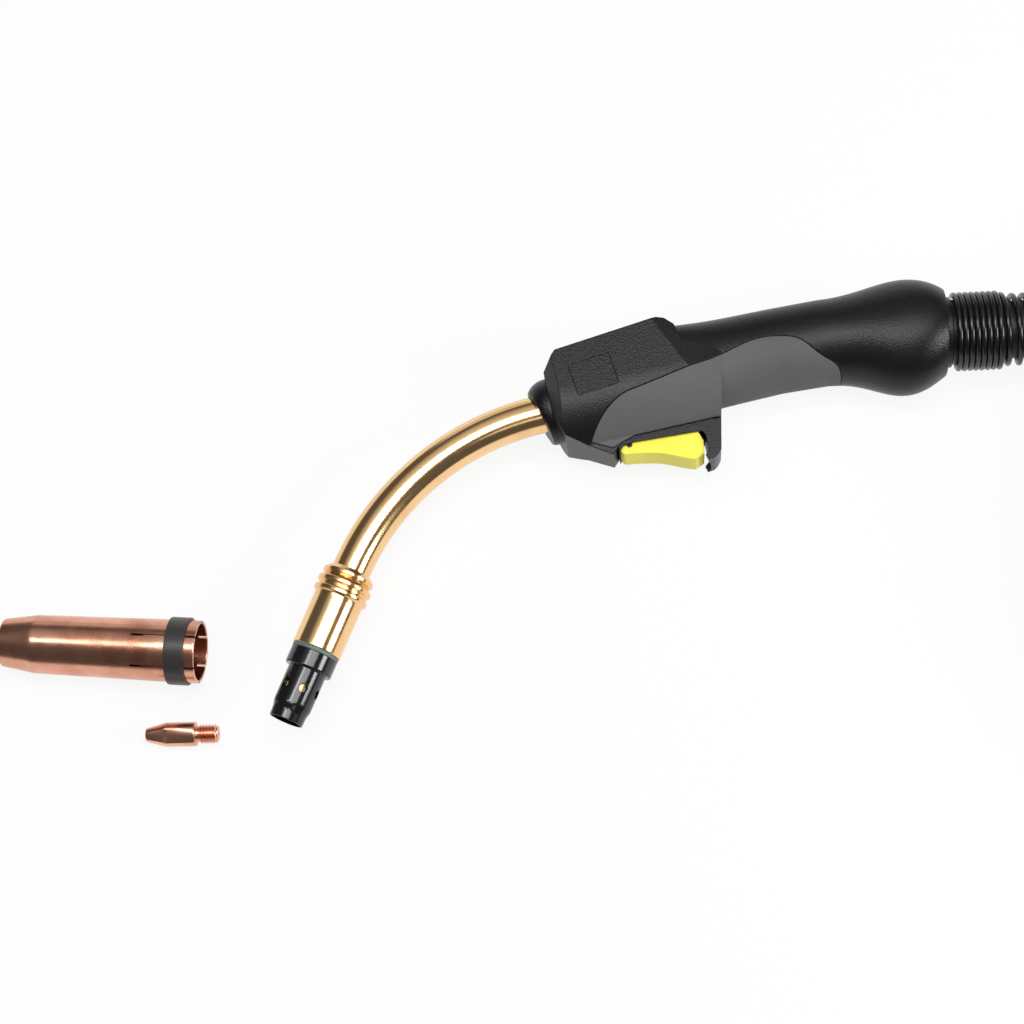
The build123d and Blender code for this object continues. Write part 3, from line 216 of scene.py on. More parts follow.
def outwards(mesh):
    """Turns a closed mesh the right way out: a . (b x c), summed over its triangles, is then above 0."""
    mesh.calc_loop_triangles()
    corners = np.empty(3 * len(mesh.loop_triangles), int)
    mesh.loop_triangles.foreach_get("vertices", corners)
    places = np.empty(3 * len(mesh.vertices))
    mesh.vertices.foreach_get("co", places)
    a, b, c = np.moveaxis(places.reshape(-1, 3)[corners.reshape(-1, 3)], 1, 0)
    if np.einsum("ij,ij->", a, np.cross(b, c)) < 0:
        mesh.flip_normals()


def skin(name, grid, close_rows=True, close_columns=True, poles=False):
    """A mesh of quads over a grid of points in metres, closed along its rows, round its columns, or at
    its poles, where a whole row is one point. Quad i, j joins points i, j and i + 1, j + 1."""
    rows, columns = grid.shape[:2]
    index = np.arange(rows * columns).reshape(rows, columns)
    if close_rows:
        index = np.vstack([index, index[:1]])
    if close_columns:
        index = np.hstack([index, index[:, :1]])
    corners = [index[:-1, :-1], index[1:, :-1], index[1:, 1:], index[:-1, 1:]]
    quads = np.stack(corners, axis=-1).reshape(-1, 4)
    mesh = bpy.data.meshes.new(name)
    mesh.vertices.add(rows * columns)
    mesh.vertices.foreach_set("co", np.ascontiguousarray(grid, float).ravel())
    mesh.loops.add(quads.size)
    mesh.loops.foreach_set("vertex_index", quads.ravel())
    mesh.polygons.add(len(quads))
    mesh.polygons.foreach_set("loop_start", np.arange(0, quads.size, 4))
    mesh.update(calc_edges=True)
    if poles:
        work = bmesh.new()
        work.from_mesh(mesh)
        bmesh.ops.remove_doubles(work, verts=work.verts, dist=1e-7)
        work.to_mesh(mesh)
        work.free()
    outwards(mesh)
    return mesh


shown = []


def piece(name, mesh, body, *stands_for, slot):
    """Puts a mesh into the scene, smooth but for sharp edges, riding on a body in place of CAD nodes."""
    mesh.shade_smooth()
    mesh.set_sharp_from_angle(angle=sharp_angle)
    made = bpy.data.objects.new(name, mesh)
    bpy.context.scene.collection.objects.link(made)
    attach(made, body)
    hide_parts(*stands_for)
    shown.append((made, slot))
    return made


# %% [markdown]
# ## Turned pieces
# A turned piece is a closed outline, drawn beside its axis as stations along the axis and radii, and
# then carried round. No real edge is sharp: each corner of the outline becomes a small curve, with
# one more point just before and just after it, so that the smooth shading bends only at the edge.
# %% The lathe
most_eased, held_out = 0.36, 1.33


def eased(outline, steps=4):
    """A closed outline of (station, radius, easing): every corner becomes a quadratic curve that starts
    and ends its easing away from the corner, held by a point a third further out on either side:
    corner + (1 - t)^2 * back + t^2 * ahead, with t from 0 to 1."""
    outline = np.asarray(outline, float)
    corner = outline[:, None, :2]
    back = np.roll(corner, 1, axis=0) - corner
    ahead = np.roll(corner, -1, axis=0) - corner
    back_run = np.linalg.norm(back, axis=2, keepdims=True)
    ahead_run = np.linalg.norm(ahead, axis=2, keepdims=True)
    size = np.minimum(outline[:, None, 2:], most_eased * np.minimum(back_run, ahead_run))
    back, ahead = back / back_run * size, ahead / ahead_run * size
    t = np.linspace(0, 1, steps + 1)[None, :, None]
    curve = corner + (1 - t) ** 2 * back + t**2 * ahead
    held = np.concatenate([corner + held_out * back, curve, corner + held_out * ahead], axis=1)
    return held.reshape(-1, 2)


def lathe(name, outline, axis, around=128, steps=4, shape=None):
    """A mesh of revolution: origin + station * axis + radius * (cos a * side + sin a * lift), where shape
    may change the stations and radii for each angle first."""
    origin, along, side, lift = axis
    line = eased(outline, steps)
    angle = np.linspace(0, 2 * pi, around, endpoint=False)
    station, angle = np.meshgrid(line[:, 0], angle, indexing="ij")
    radius = np.repeat(line[:, 1:], around, axis=1)
    if shape:
        station, radius = shape(station, radius, angle)
    ring = np.cos(angle)[..., None] * side + np.sin(angle)[..., None] * lift
    grid = origin + station[..., None] * along + radius[..., None] * ring
    return skin(name, from_datum(grid))


# %% [markdown]
# ## The neck
# The neck is a brass tube bent through 56 degrees on a former, so its bend is a true arc between two
# straights. The path is worked out from the distance along it; a ring is then set across the path
# at each station, first down the outside of the tube and then back up the inside.
# %% The bent tube
bend_run = bend_radius * tan(radians(bend_angle) / 2)
bend_length = bend_radius * radians(bend_angle)
bend_start_x = corner_x + bend_run


def neck_path(distance):
    """Centre and outward direction of the neck at a distance along it, 0 at the start of the bend:
    straight before, a circle of the bend's radius through the bend, and straight after it."""
    turn = np.clip(distance, 0, bend_length) / bend_radius
    ahead = np.stack([-np.cos(turn), -np.sin(turn), 0 * turn], axis=-1)
    outward = np.stack([-np.sin(turn), np.cos(turn), 0 * turn], axis=-1)
    centre = np.array([bend_start_x, -bend_radius, 0.0]) + bend_radius * outward
    over = distance - np.clip(distance, 0, bend_length)
    return centre + over[:, None] * ahead, outward


def bent_tube(name, outer, inner, start, end, lip=0.4, rings=90, around=96):
    """A tube along the neck from a start to an end distance: rings out along it and back inside, each at
    centre + radius * (cos a * outward + sin a * up), with both ends rounded by a lip."""
    rim = lip * np.array([0.0, 0.15, 0.5, 1.0, 1.4])
    drop = lip * np.array([1.0, 0.5, 0.15, 0.0, 0.0])
    run = np.concatenate([start + rim, np.linspace(start + 3, end - 3, rings), (end - rim)[::-1]])
    down = np.concatenate([drop, np.zeros(rings), drop[::-1]])
    distance = np.concatenate([run, run[::-1]])
    radius = np.concatenate([outer - down, (inner + down)[::-1]])
    centre, outward = neck_path(distance)
    angle = np.linspace(0, 2 * pi, around, endpoint=False)[None, :, None]
    across = np.cos(angle) * outward[:, None] + np.sin(angle) * np.array([0, 0, 1.0])
    return skin(name, from_datum(centre[:, None] + radius[:, None, None] * across))


neck_radius, neck_bore = 8.0, 6.7
neck_back_x, neck_reach = 26.0, 83.7
neck_back = bend_start_x - neck_back_x
neck_front = bend_length + neck_reach - bend_run
neck_mesh = bent_tube("neck", neck_radius, neck_bore, neck_back, neck_front)
neck = piece("neck", neck_mesh, "torch", "neck_tube", slot="brass")
print("neck:", round(neck_front - neck_back, 1), "mm of tube,", len(neck.data.polygons), "faces")

# %% [markdown]
# ## The sleeve, the washer and the gas diffuser
# The sleeve that the nozzle pushes onto has three turned ridges at its rear. A grey-green washer
# insulates it from the blackened diffuser, whose six holes let the gas out round the tip. The holes
# are cut with a Boolean, since a drilled hole is the one thing that a lathe can't make.
# %% Turned front end
bead_places = [(61.6, 10.8), (65.7, 11.5), (69.8, 11.5)]
bead = np.array([[-1.6, -1.1, 0.15], [-0.8, 0.0, 0.35], [0.8, 0.0, 0.35], [1.6, -1.1, 0.15]])
beads = np.concatenate([bead + (station, radius, 0) for station, radius in bead_places])
valley_radius = 9.7
beads[:, 1] = np.maximum(beads[:, 1], valley_radius)
sleeve_rear, sleeve_front, sleeve_radius = 59.0, 94.6, 10.3
rear_bore, front_bore, bore_step = 8.3, 6.9, 84.0
sleeve_outline = [
    (sleeve_rear, rear_bore, 0.1),
    (sleeve_rear, 9.0, 0.4),
    *beads,
    (72.9, sleeve_radius, 0.3),
    (sleeve_front, sleeve_radius, 0.4),
    (sleeve_front, front_bore, 0.2),
    (bore_step, front_bore, 0.1),
    (bore_step, rear_bore, 0.1),
]
sleeve_mesh = lathe("sleeve", sleeve_outline, end_frame)
sleeve = piece("sleeve", sleeve_mesh, "torch", "neck_sleeve", slot="brass")
washer_front, washer_radius = 96.2, 9.9
washer_outline = [
    (sleeve_front, front_bore, 0.1),
    (sleeve_front, washer_radius, 0.25),
    (washer_front, washer_radius, 0.25),
    (washer_front, front_bore, 0.1),
]
washer_mesh = lathe("washer", washer_outline, end_frame)
piece("washer", washer_mesh, "torch", "sleeve_washer", slot="washer_green")
print("sleeve:", len(bead_places), "beads, and a washer", round(washer_front - sleeve_front, 1), "mm thick")

# %% The diffuser and its drilled holes


def drilled(mesh, cutters):
    """The mesh after an exact Boolean with the cutters, which are then taken away."""
    blank = bpy.data.objects.new("blank", mesh)
    bpy.context.scene.collection.objects.link(blank)
    drills = []
    for cutter in cutters:
        drill = bpy.data.objects.new("drill", cutter)
        bpy.context.scene.collection.objects.link(drill)
        cut = blank.modifiers.new("cut", "BOOLEAN")
        cut.operation, cut.solver, cut.object = "DIFFERENCE", "EXACT", drill
        drills.append(drill)
    shape = bpy.data.meshes.new_from_object(
        blank.evaluated_get(bpy.context.evaluated_depsgraph_get())
    )
    shape.name = mesh.name
    for used in [blank, *drills]:
        bpy.data.objects.remove(used)
    return shape


def rod(centre, way, radius, start, end, around=32):
    """A round rod from start to end along a way, closed by two caps: its rings are at
    centre + reach * way + width * (cos a * side + sin a * lift), with width 0 at the caps' middles."""
    way = np.asarray(way, float)
    askew = [0.31, 0.41, 0.86]
    side = np.cross(way, askew)
    side /= np.linalg.norm(side)
    lift = np.cross(way, side)
    angle = np.linspace(0, 2 * pi, around, endpoint=False)[None, :, None]
    reach = np.array([start, start, end, end])[:, None, None]
    width = np.array([0.0, radius, radius, 0.0])[:, None, None]
    grid = np.asarray(centre) + reach * way + width * (np.cos(angle) * side + np.sin(angle) * lift)
    return skin("rod", from_datum(grid), close_rows=False, poles=True)


flange_front, barrel_radius, barrel_bore = 103.5, 7.95, 6.6
diffuser_front, mouth_radius = 125.7, 7.1
seat_depth, seat_bore = 3.0, 7.1
diffuser_outline = [
    (washer_front, seat_bore, 0.1),
    (washer_front, washer_radius, 0.3),
    (flange_front, washer_radius, 0.7),
    (flange_front, barrel_radius, 0.3),
    (119.2, barrel_radius, 1.2),
    (121.6, 7.25, 0.8),
    (diffuser_front, mouth_radius, 0.25),
    (diffuser_front, barrel_bore, 0.25),
    (washer_front + seat_depth, barrel_bore, 0.1),
    (washer_front + seat_depth, seat_bore, 0.1),
]
hole_count, first_hole, hole_radius, hole_station = 6, 7.5, 1.9, 111.6
drill_start, drill_end = 5.4, 9.4
hole_angles = np.radians(first_hole + 360 / hole_count * np.arange(hole_count))
end_origin, end_along, end_side, end_lift = end_frame
hole_centre = end_origin + hole_station * end_along
hole_ways = [cos(turn) * end_side + sin(turn) * end_lift for turn in hole_angles]
drills = [rod(hole_centre, way, hole_radius, drill_start, drill_end) for way in hole_ways]
diffuser_mesh = drilled(lathe("diffuser", diffuser_outline, end_frame), drills)
diffuser = piece("diffuser", diffuser_mesh, "torch", "gas_diffuser", slot="blackened")
print("sleeve and diffuser:", len(sleeve.data.polygons), "and", len(diffuser.data.polygons), "faces")

# %% [markdown]
# ## The loose gas nozzle
# The nozzle is drawn from copper tube, tapered towards its mouth. Its rear end is slit six times so
# that it springs over the sleeve's beads, and a dark clamp band holds the fingers together. Three
# flat slabs through the axis cut the six slits. The nozzle lies on its band and on its shoulder, so
# its axis climbs a little.
# %% Nozzle and band
band_rear, band_front, taper_end, nozzle_length = 79.0, 70.8, 14.0, 83.2
band_radius, shoulder_radius, rear_radius = 14.0, 12.1, 12.9
slit_start, slit_bore, nozzle_bore = 56.2, 11.6, 11.0
nozzle_climb = atan((band_radius - shoulder_radius) / (band_front - taper_end))
nozzle_height = shoulder_radius * cos(nozzle_climb) - taper_end * sin(nozzle_climb)
nozzle_x, nozzle_y, nozzle_heading = -240.7, -42.7, -16.3
nozzle_frame = axis_frame(nozzle_x, nozzle_y, nozzle_heading, nozzle_height, degrees(nozzle_climb))
nozzle_outline = [
    (0, 8.0, 0.4),
    (0, 9.9, 0.7),
    (taper_end, shoulder_radius, 1.0),
    (band_front, rear_radius, 0.5),
    (nozzle_length, rear_radius, 0.3),
    (nozzle_length, slit_bore, 0.3),
    (slit_start, slit_bore, 0.2),
    (slit_start, nozzle_bore, 0.2),
    (16.0, nozzle_bore, 1.5),
    (10.0, 10.0, 1.5),
]
nozzle_origin, nozzle_along, nozzle_side, nozzle_lift = nozzle_frame


def slab(turn, start, end, half_width, reach):
    """A thin flat slab through the nozzle's axis, standing at an angle about it. Its four corners are at
    reach * across and half_width * thick either side of the axis, at each end."""
    across = cos(turn) * nozzle_side + sin(turn) * nozzle_lift
    thick = -sin(turn) * nozzle_side + cos(turn) * nozzle_lift
    ends = np.array([start, start, end, end])[:, None, None]
    width = np.array([0.0, 1.0, 1.0, 0.0])[:, None, None]
    corner = np.array([[1, 1], [-1, 1], [-1, -1], [1, -1]])[None, :, :, None]
    square = corner[:, :, 0] * reach * across + corner[:, :, 1] * half_width * thick
    grid = nozzle_origin + ends * nozzle_along + width * square
    return skin("slab", from_datum(grid), close_rows=False, poles=True)


slab_count, first_slab, slit_half_width = 3, 15, 0.5
past_rear, past_wall = nozzle_length + 2.8, 16
slab_turns = np.radians(first_slab + 180 / slab_count * np.arange(slab_count))
slabs = [slab(turn, slit_start, past_rear, slit_half_width, past_wall) for turn in slab_turns]
nozzle_mesh = drilled(lathe("nozzle", nozzle_outline, nozzle_frame), slabs)
nozzle = piece("nozzle", nozzle_mesh, "nozzle", "gas_nozzle", slot="copper")
band_bore = 13.05
band_outline = [
    (band_front, band_bore, 0.1),
    (band_front, band_radius, 0.4),
    (band_rear, band_radius, 0.4),
    (band_rear, band_bore, 0.1),
]
band_mesh = lathe("band", band_outline, nozzle_frame)
piece("band", band_mesh, "nozzle", "nozzle_band", slot="band_black")
print("nozzle:", len(nozzle.data.polygons), "faces, climbing", round(degrees(nozzle_climb), 2), "degrees")

# %% [markdown]
# ## The loose contact tip
# The tip is turned from copper rod, with two spanner flats and an M8 thread. The thread is no extra
# piece: on the grid, the radius rises and falls with the station and with the angle together, which
# is what makes it wind along the stem. Its profile is a triangle wave with flattened crests and
# roots, and it fades at both ends of the stem.
# %% Tip with its flats and thread
tip_body, tip_bore, tip_length, body_end = 5.0, 0.6, 30.0, 20.9
tip_x, tip_y, tip_heading = -190.3, -92.9, -11.7
tip_frame = axis_frame(tip_x, tip_y, tip_heading, tip_body)
thread_start, thread_pitch, thread_depth, thread_top = 21.6, 1.25, 0.85, 3.95
body_outline = [
    (0, tip_bore, 0.05),
    (0, 2.75, 0.45),
    (8.4, tip_body, 0.6),
    (body_end, tip_body, 0.5),
    (body_end, 3.3, 0.2),
]
thread_rows = 120
stem_along = np.linspace(thread_start, tip_length, thread_rows)
stem = np.stack([stem_along, np.full(thread_rows, thread_top)], axis=1)
tip_rows = np.concatenate([eased(body_outline), stem, [(tip_length, 2.9), (tip_length, tip_bore)]])
tip_angle = np.linspace(0, 2 * pi, 144, endpoint=False)
station, turn = np.meshgrid(tip_rows[:, 0], tip_angle, indexing="ij")
tip_radius = np.repeat(tip_rows[:, 1:], len(tip_angle), axis=1)
wave = np.abs(((station / thread_pitch - turn / (2 * pi)) % 1) * 2 - 1)
ridge = np.clip(1.5 * wave - 0.25, 0, 1)
run_in, run_out, thread_floor = 1.2, 0.9, 3.5
begun = np.clip((station - thread_start) / run_in, 0, 1)
left = np.clip((tip_length - station) / run_out, 0, 1)
full_depth = begun * left
on_thread = (station > thread_start - 0.1) & (tip_radius > thread_floor)
tip_radius = np.where(on_thread, thread_top - thread_depth * (1 - ridge * full_depth), tip_radius)
tip_origin, tip_along, tip_side, tip_lift = tip_frame
flat_turn, flat_start, flat_end, half_across = radians(20), 4.5, 12.3, 4
flat_way = -sin(flat_turn) * tip_side + cos(flat_turn) * tip_lift
round_way = np.cos(turn)[..., None] * tip_side + np.sin(turn)[..., None] * tip_lift
off_flat = (tip_radius * (round_way @ flat_way))[..., None]
between_flats = ((station > flat_start) & (station < flat_end))[..., None]
pressed = np.where(between_flats, np.clip(off_flat, -half_across, half_across) - off_flat, 0)
tip_grid = tip_origin + station[..., None] * tip_along
tip_grid = tip_grid + tip_radius[..., None] * round_way + pressed * flat_way
tip = piece("tip", skin("tip", from_datum(tip_grid)), "tip", "contact_tip", slot="copper")
print("tip:", len(tip.data.polygons), "faces")

# %% [markdown]
# ## The ball, the support spring and the collar
# Behind the handle the cable swivels on a ball. Its support spring is one wire, wound close at first
# and then open, and it is a true helix: a small ring of points is carried along it, square to it.
# %% Ball and collar
ball_radius, ball_front, hose_bore, spigot_radius = 17.5, -10.0, 12.3, 13.5
ring_radius, ring_front, ring_rear, spigot_rear = 14.7, 14.0, 21.1, 38.0
ball_first_turn, ball_last_turn = 124.85, 50.5
ball_turn = np.radians(np.linspace(ball_first_turn, ball_last_turn, 22))
ball_outline = [
    *[(ball_radius * cos(turn), ball_radius * sin(turn), 0.05) for turn in ball_turn],
    (ring_front, spigot_radius, 0.2),
    (ring_front, ring_radius, 0.4),
    (ring_rear, ring_radius, 0.4),
    (ring_rear, spigot_radius, 0.2),
    (spigot_rear, spigot_radius, 0.4),
    (spigot_rear, hose_bore, 0.4),
    (ball_front, hose_bore, 0.3),
]
ball_mesh = lathe("ball", ball_outline, cable_frame, steps=2)
ball = piece("ball", ball_mesh, "cable", "knuckle_ball", slot="black_plastic")
housing_front, collar_length, collar_bore, collar_spigot = 2.0, 9.0, 8.3, 10.5
dome_middle, dome_height = 6.2, 7.8
dome_turn = np.radians(np.linspace(0, 75, 9))
dome = [
    (housing_front - collar_length * sin(turn), dome_middle + dome_height * cos(turn), 0.05)
    for turn in dome_turn
]
collar_outline = [
    (housing_front + 3, collar_bore, 0.1),
    (housing_front + 3, collar_spigot, 0.2),
    (housing_front, collar_spigot, 0.1),
    *dome,
    (housing_front - collar_length, collar_bore, 0.1),
]
face_x, face_lean = -3.7, radians(15.5)


def leaning_face(station, radius, angle):
    """Stations held behind a plane that crosses the axis at face_x and leans: face_x - y * tan(lean)."""
    return np.maximum(station, face_x - radius * np.cos(angle) * tan(face_lean)), radius


collar_mesh = lathe("collar", collar_outline, handle_frame, around=192, shape=leaning_face)
collar = piece("collar", collar_mesh, "torch", "neck_collar", slot="black_plastic")
print("ball and collar:", len(ball.data.polygons), "and", len(collar.data.polygons), "faces")

# %% The spring's wire
wire_radius, tight_reach, open_reach = 1.19, 15.3, 14.0
tight_turns, all_turns, tight_pitch = 8, 16, 2.4
spring_start, spring_end = 22.85, 78.95
tight_stop = spring_start + tight_pitch * tight_turns
steps_per_turn = 40
wound = np.arange(all_turns * steps_per_turn + 1) / steps_per_turn
wind = 2 * pi * wound
wire_station = np.interp(wound, [0, tight_turns, all_turns], [spring_start, tight_stop, spring_end])
wire_reach = np.interp(wound, [tight_turns - 0.5, tight_turns + 0.5], [tight_reach, open_reach])
spring_origin, spring_along, spring_side, spring_lift = cable_frame
out_way = np.cos(wind)[:, None] * spring_side + np.sin(wind)[:, None] * spring_lift
wire_line = spring_origin + wire_station[:, None] * spring_along + wire_reach[:, None] * out_way
ahead = np.gradient(wire_line, axis=0)
ahead /= np.linalg.norm(ahead, axis=1, keepdims=True)
up_way = np.cross(ahead, out_way)
wire_size = np.full(len(wound), wire_radius)
wire_size[[0, -1]] = 0
wire_line[[0, -1]] = wire_line[[1, -2]]
wire_angle = np.linspace(0, 2 * pi, 14, endpoint=False)[None, :, None]
wire_ring = np.cos(wire_angle) * out_way[:, None] + np.sin(wire_angle) * up_way[:, None]
wire_grid = wire_line[:, None] + wire_size[:, None, None] * wire_ring
spring_mesh = skin("spring", from_datum(wire_grid), close_rows=False, poles=True)
piece("spring", spring_mesh, "cable", "support_spring", slot="spring_black")
print("spring:", round(np.linalg.norm(np.diff(wire_line, axis=0), axis=1).sum()), "mm of wire")

# %% [markdown]
# ## The machine connector
# The cable ends in a central connector: a rubber boot, a moulded housing, a brass body with its nose
# and O-ring, and a nut that the hand turns. The nut's ten grips are scoops: where a round cutter of
# a given radius passes, the nut's own radius gives way to the cutter's.
# %% Connector pieces
tail_end_x = tail_x + tail_bend
connector_y = -150.0
plug_frame = axis_frame(tail_end_x, connector_y, -90, connector_height)
boot_radius, boot_length, fold_count, fold_step = 18.0, 34.0, 5, 4.2
boot_rows = [(0, hose_bore, 0.3), (0, 14.6, 0.6)]
for fold in range(fold_count):
    fold_start, width = 3.4 + fold_step * fold, 14.8 + 0.65 * fold
    boot_rows += [
        (fold_start, width, 0.5),
        (fold_start + 0.5, width - 0.9, 0.4),
        (fold_start + 1.6, width - 0.7, 0.4),
        (fold_start + 2.0, width + 0.3, 0.5),
    ]
boot_rows += [(24.2, boot_radius, 0.6), (boot_length, boot_radius, 0.3), (boot_length, hose_bore, 0.3)]
boot_mesh = lathe("boot", boot_rows, plug_frame)
boot = piece("boot", boot_mesh, "cable", "connector_boot", slot="oring_black")
housing_radius, groove_radius, housing_bore, boot_seat = 22.5, 22.0, 19.5, 18.3
housing_start, housing_end = 25.0, 84.0
housing_outline = [
    (housing_start, boot_seat, 0.3),
    (housing_start, 19.8, 0.6),
    (33.0, housing_radius, 4.0),
    (50.0, housing_radius, 0.3),
    (50.4, groove_radius, 0.3),
    (51.6, groove_radius, 0.3),
    (52.0, housing_radius, 0.3),
    (housing_end, housing_radius, 1.0),
    (housing_end, housing_bore, 0.3),
    (35.0, housing_bore, 0.3),
    (35.0, boot_seat, 0.2),
]
housing_mesh = lathe("housing", housing_outline, plug_frame)
housing = piece("housing", housing_mesh, "cable", "connector_housing", slot="black_plastic")
print("boot and housing:", len(boot.data.polygons), "and", len(housing.data.polygons), "faces")

# %% The nut, its scoops and the seal
scoop_count, scoop_floor = 10, 22
cutter_reach, cutter_radius, scoop_step = 26.2, 2.6, 2 * pi / scoop_count


def scooped(station, radius, angle):
    """Radii with round scoops: near a scoop's middle, where its circle of cutter_radius centred
    at cutter_reach is crossed, radius = reach * cos(off) - sqrt(cutter^2 - (reach * sin(off))^2)."""
    off = (angle + scoop_step / 2) % scoop_step - scoop_step / 2
    inside = cutter_radius**2 - (cutter_reach * np.sin(off)) ** 2
    scoop = cutter_reach * np.cos(off) - np.sqrt(np.maximum(inside, 0))
    scooped_here = (inside > 0) & (radius > scoop_floor)
    return station, np.where(scooped_here, np.minimum(radius, scoop), radius)


nut_start, nut_floor, nut_end = 84.7, 90.3, 113.0
nut_radius, nut_bore, floor_bore = 25.0, 17.4, 15.1
nut_outline = [
    (nut_start, floor_bore, 0.2),
    (nut_start, nut_radius, 1.2),
    (nut_end, nut_radius, 1.2),
    (nut_end, nut_bore, 0.5),
    (nut_floor, nut_bore, 0.2),
    (nut_floor, floor_bore, 0.2),
]
nut_mesh = lathe("nut", nut_outline, plug_frame, around=320, shape=scooped)
nut = piece("nut", nut_mesh, "connector_nut", "connector_nut", slot="black_plastic")
seal_start, seal_end, seal_inner, seal_outer = 113.1, 114.9, 4.7, 6.4
seal_outline = [
    (seal_start, seal_inner, 0.1),
    (seal_start, seal_outer, 0.6),
    (seal_end, seal_outer, 0.6),
    (seal_end, seal_inner, 0.1),
]
seal_mesh = lathe("seal", seal_outline, plug_frame)
seal = piece("seal", seal_mesh, "cable", "connector_oring", slot="oring_black")
print("connector:", len(nut.data.polygons), "faces in the nut")

# %% [markdown]
# ## Materials as sums
# A finish is a small piece of arithmetic: a colour that drifts with a noise, a roughness that falls
# where hands have polished it. Two small classes let it be written that way. Value wraps a socket,
# and its operators add Math nodes; Finish holds one material and makes any other node from its type.
# %% Writing shader maths
class Value:
    """A number in a shader: +, -, * and / on it add Math nodes, and above() adds a clamped ramp."""

    def __init__(self, finish, socket):
        self.finish, self.socket = finish, socket

    def math(self, operation, *operands):
        """One Math node, whose operands are values or numbers."""
        sockets = dict(enumerate(operands))
        return self.finish.add("ShaderNodeMath", {"operation": operation}, sockets)

    def __add__(self, other):
        return self.math("ADD", self, other)

    def __sub__(self, other):
        return self.math("SUBTRACT", self, other)

    def __rsub__(self, other):
        return self.math("SUBTRACT", other, self)

    def __mul__(self, other):
        return self.math("MULTIPLY", self, other)

    def __truediv__(self, other):
        return self.math("DIVIDE", self, other)

    def above(self, edge, width):
        """0 below an edge and 1 above it, over a width: (value - edge) / width + 1/2, clamped."""
        step = (self - (edge - width / 2)) / width
        return self.finish.add("ShaderNodeClamp", {}, {"Value": step})

    __radd__, __rmul__ = __add__, __mul__


finishes = {}


class Finish:
    """One material: its node tree, its Principled shader, and the object coordinates that it reads."""

    def __init__(self, name):
        self.material = finishes[name] = bpy.data.materials.new(name)
        self.material.use_nodes = True
        self.tree = self.material.node_tree
        self.shader = self.tree.nodes["Principled BSDF"]
        self.place = self.add("ShaderNodeTexCoord", output="Object")

    def plug(self, node, sockets):
        """Links each value to its socket of a node, or sets the socket to a plain number or colour."""
        for key, value in sockets.items():
            if isinstance(value, Value):
                self.tree.links.new(value.socket, node.inputs[key])
            else:
                node.inputs[key].default_value = value

    def add(self, kind, settings=None, sockets=None, output=0):
        """A node of a type, with its settings made first and then its sockets' values or links."""
        node = self.tree.nodes.new(kind)
        for key, value in (settings or {}).items():
            setattr(node, key, value)
        self.plug(node, sockets or {})
        return Value(self, node.outputs[output])

    def noise(self, scale, detail):
        """Noise from 0 to 1 whose features are about 1 / scale metres; its grid is turned, so that no flat
        face lies along one of the grid's planes, where noise thins out into rings."""
        place = self.add("ShaderNodeMapping", {}, {"Vector": self.place, "Rotation": (0.6, 0.8, 0.4)})
        sockets = {"Vector": place, "Scale": scale, "Detail": detail, "Roughness": 0.55}
        return self.add("ShaderNodeTexNoise", {}, sockets, "Fac")

    def blend(self, mask, low, high):
        """The colour low where the mask is 0 and high where it is 1; a Mix node has its colours in its
        inputs 6 and 7, and their mixture in its output 2."""
        sockets = {"Factor": mask, 6: (*low, 1), 7: (*high, 1)}
        return self.add("ShaderNodeMix", {"data_type": "RGBA"}, sockets, 2)

    def bump(self, height, distance, radius=None):
        """A normal raised by height over a distance in metres, on edges rounded to a radius."""
        sockets = {"Height": height, "Distance": distance, "Strength": 1.0}
        if radius:
            sockets["Normal"] = self.add("ShaderNodeBevel", {"samples": 6}, {"Radius": radius})
        return self.add("ShaderNodeBump", {}, sockets)

    def done(self, **sockets):
        """Sets the shader's sockets, whose names are written here with _ in place of a space."""
        self.plug(self.shader, {key.replace("_", " "): value for key, value in sockets.items()})


# %% [markdown]
# ## Moulded plastic
# The shells are glass-filled nylon out of a spark-eroded mould: near black, with a fine even grain
# that breaks up the highlights. The grip inlays are a softer, greyer moulding with a finer grain.
# %% Plastics and rubbers


def moulded(name, colour, roughness, grain=1700.0, grain_depth=0.00005, edge=None, coat=0.0, gloss=0.5):
    """A moulded surface: a colour that drifts slightly, an even grain, and a little polish from handling,
    as roughness - 0.04 * handled + 0.06 * grain."""
    finish = Finish(name)
    cells = {"Vector": finish.place, "Scale": grain, "Smoothness": 0.5}
    grain_height = finish.add("ShaderNodeTexVoronoi", {"feature": "SMOOTH_F1"}, cells)
    drift = finish.noise(28.0, detail=3.0)
    handled = finish.noise(20.0, detail=1.0).above(0.55, 0.6)
    pale = [channel * 1.18 + 0.002 for channel in colour]
    finish.done(
        Base_Color=finish.blend(drift.above(0.5, 0.5), colour, pale),
        Roughness=roughness - 0.04 * handled + 0.06 * grain_height,
        Normal=finish.bump(grain_height, grain_depth, edge),
        Specular_IOR_Level=gloss,
        Coat_Weight=coat,
        Coat_Roughness=0.12,
    )


moulded("black_plastic", (0.005, 0.005, 0.0052), 0.3, 1900.0, 0.00009, edge=0.0006, gloss=0.32)
moulded("grip_grey", (0.1, 0.1, 0.102), 0.6, 2600.0, 0.00004, edge=0.0006, gloss=0.35)
moulded("trigger_yellow", (0.92, 0.83, 0.08), 0.38, 2400.0, 0.00001, edge=0.0008, gloss=0.25)
moulded("hose_black", (0.01, 0.01, 0.011), 0.45, 900.0, gloss=0.4)
moulded("oring_black", (0.01, 0.01, 0.01), 0.5, gloss=0.4)
moulded("band_black", (0.032, 0.029, 0.026), 0.36, 2200.0, 0.00003)
moulded("spring_black", (0.006, 0.006, 0.0065), 0.18, 3000.0, 0.000006)
moulded("blackened", (0.006, 0.006, 0.0065), 0.14, 2600.0, 0.000006, coat=0.3)
moulded("washer_green", (0.12, 0.16, 0.16), 0.45, 2200.0)
moulded("insulation", (0.62, 0.6, 0.52), 0.5)
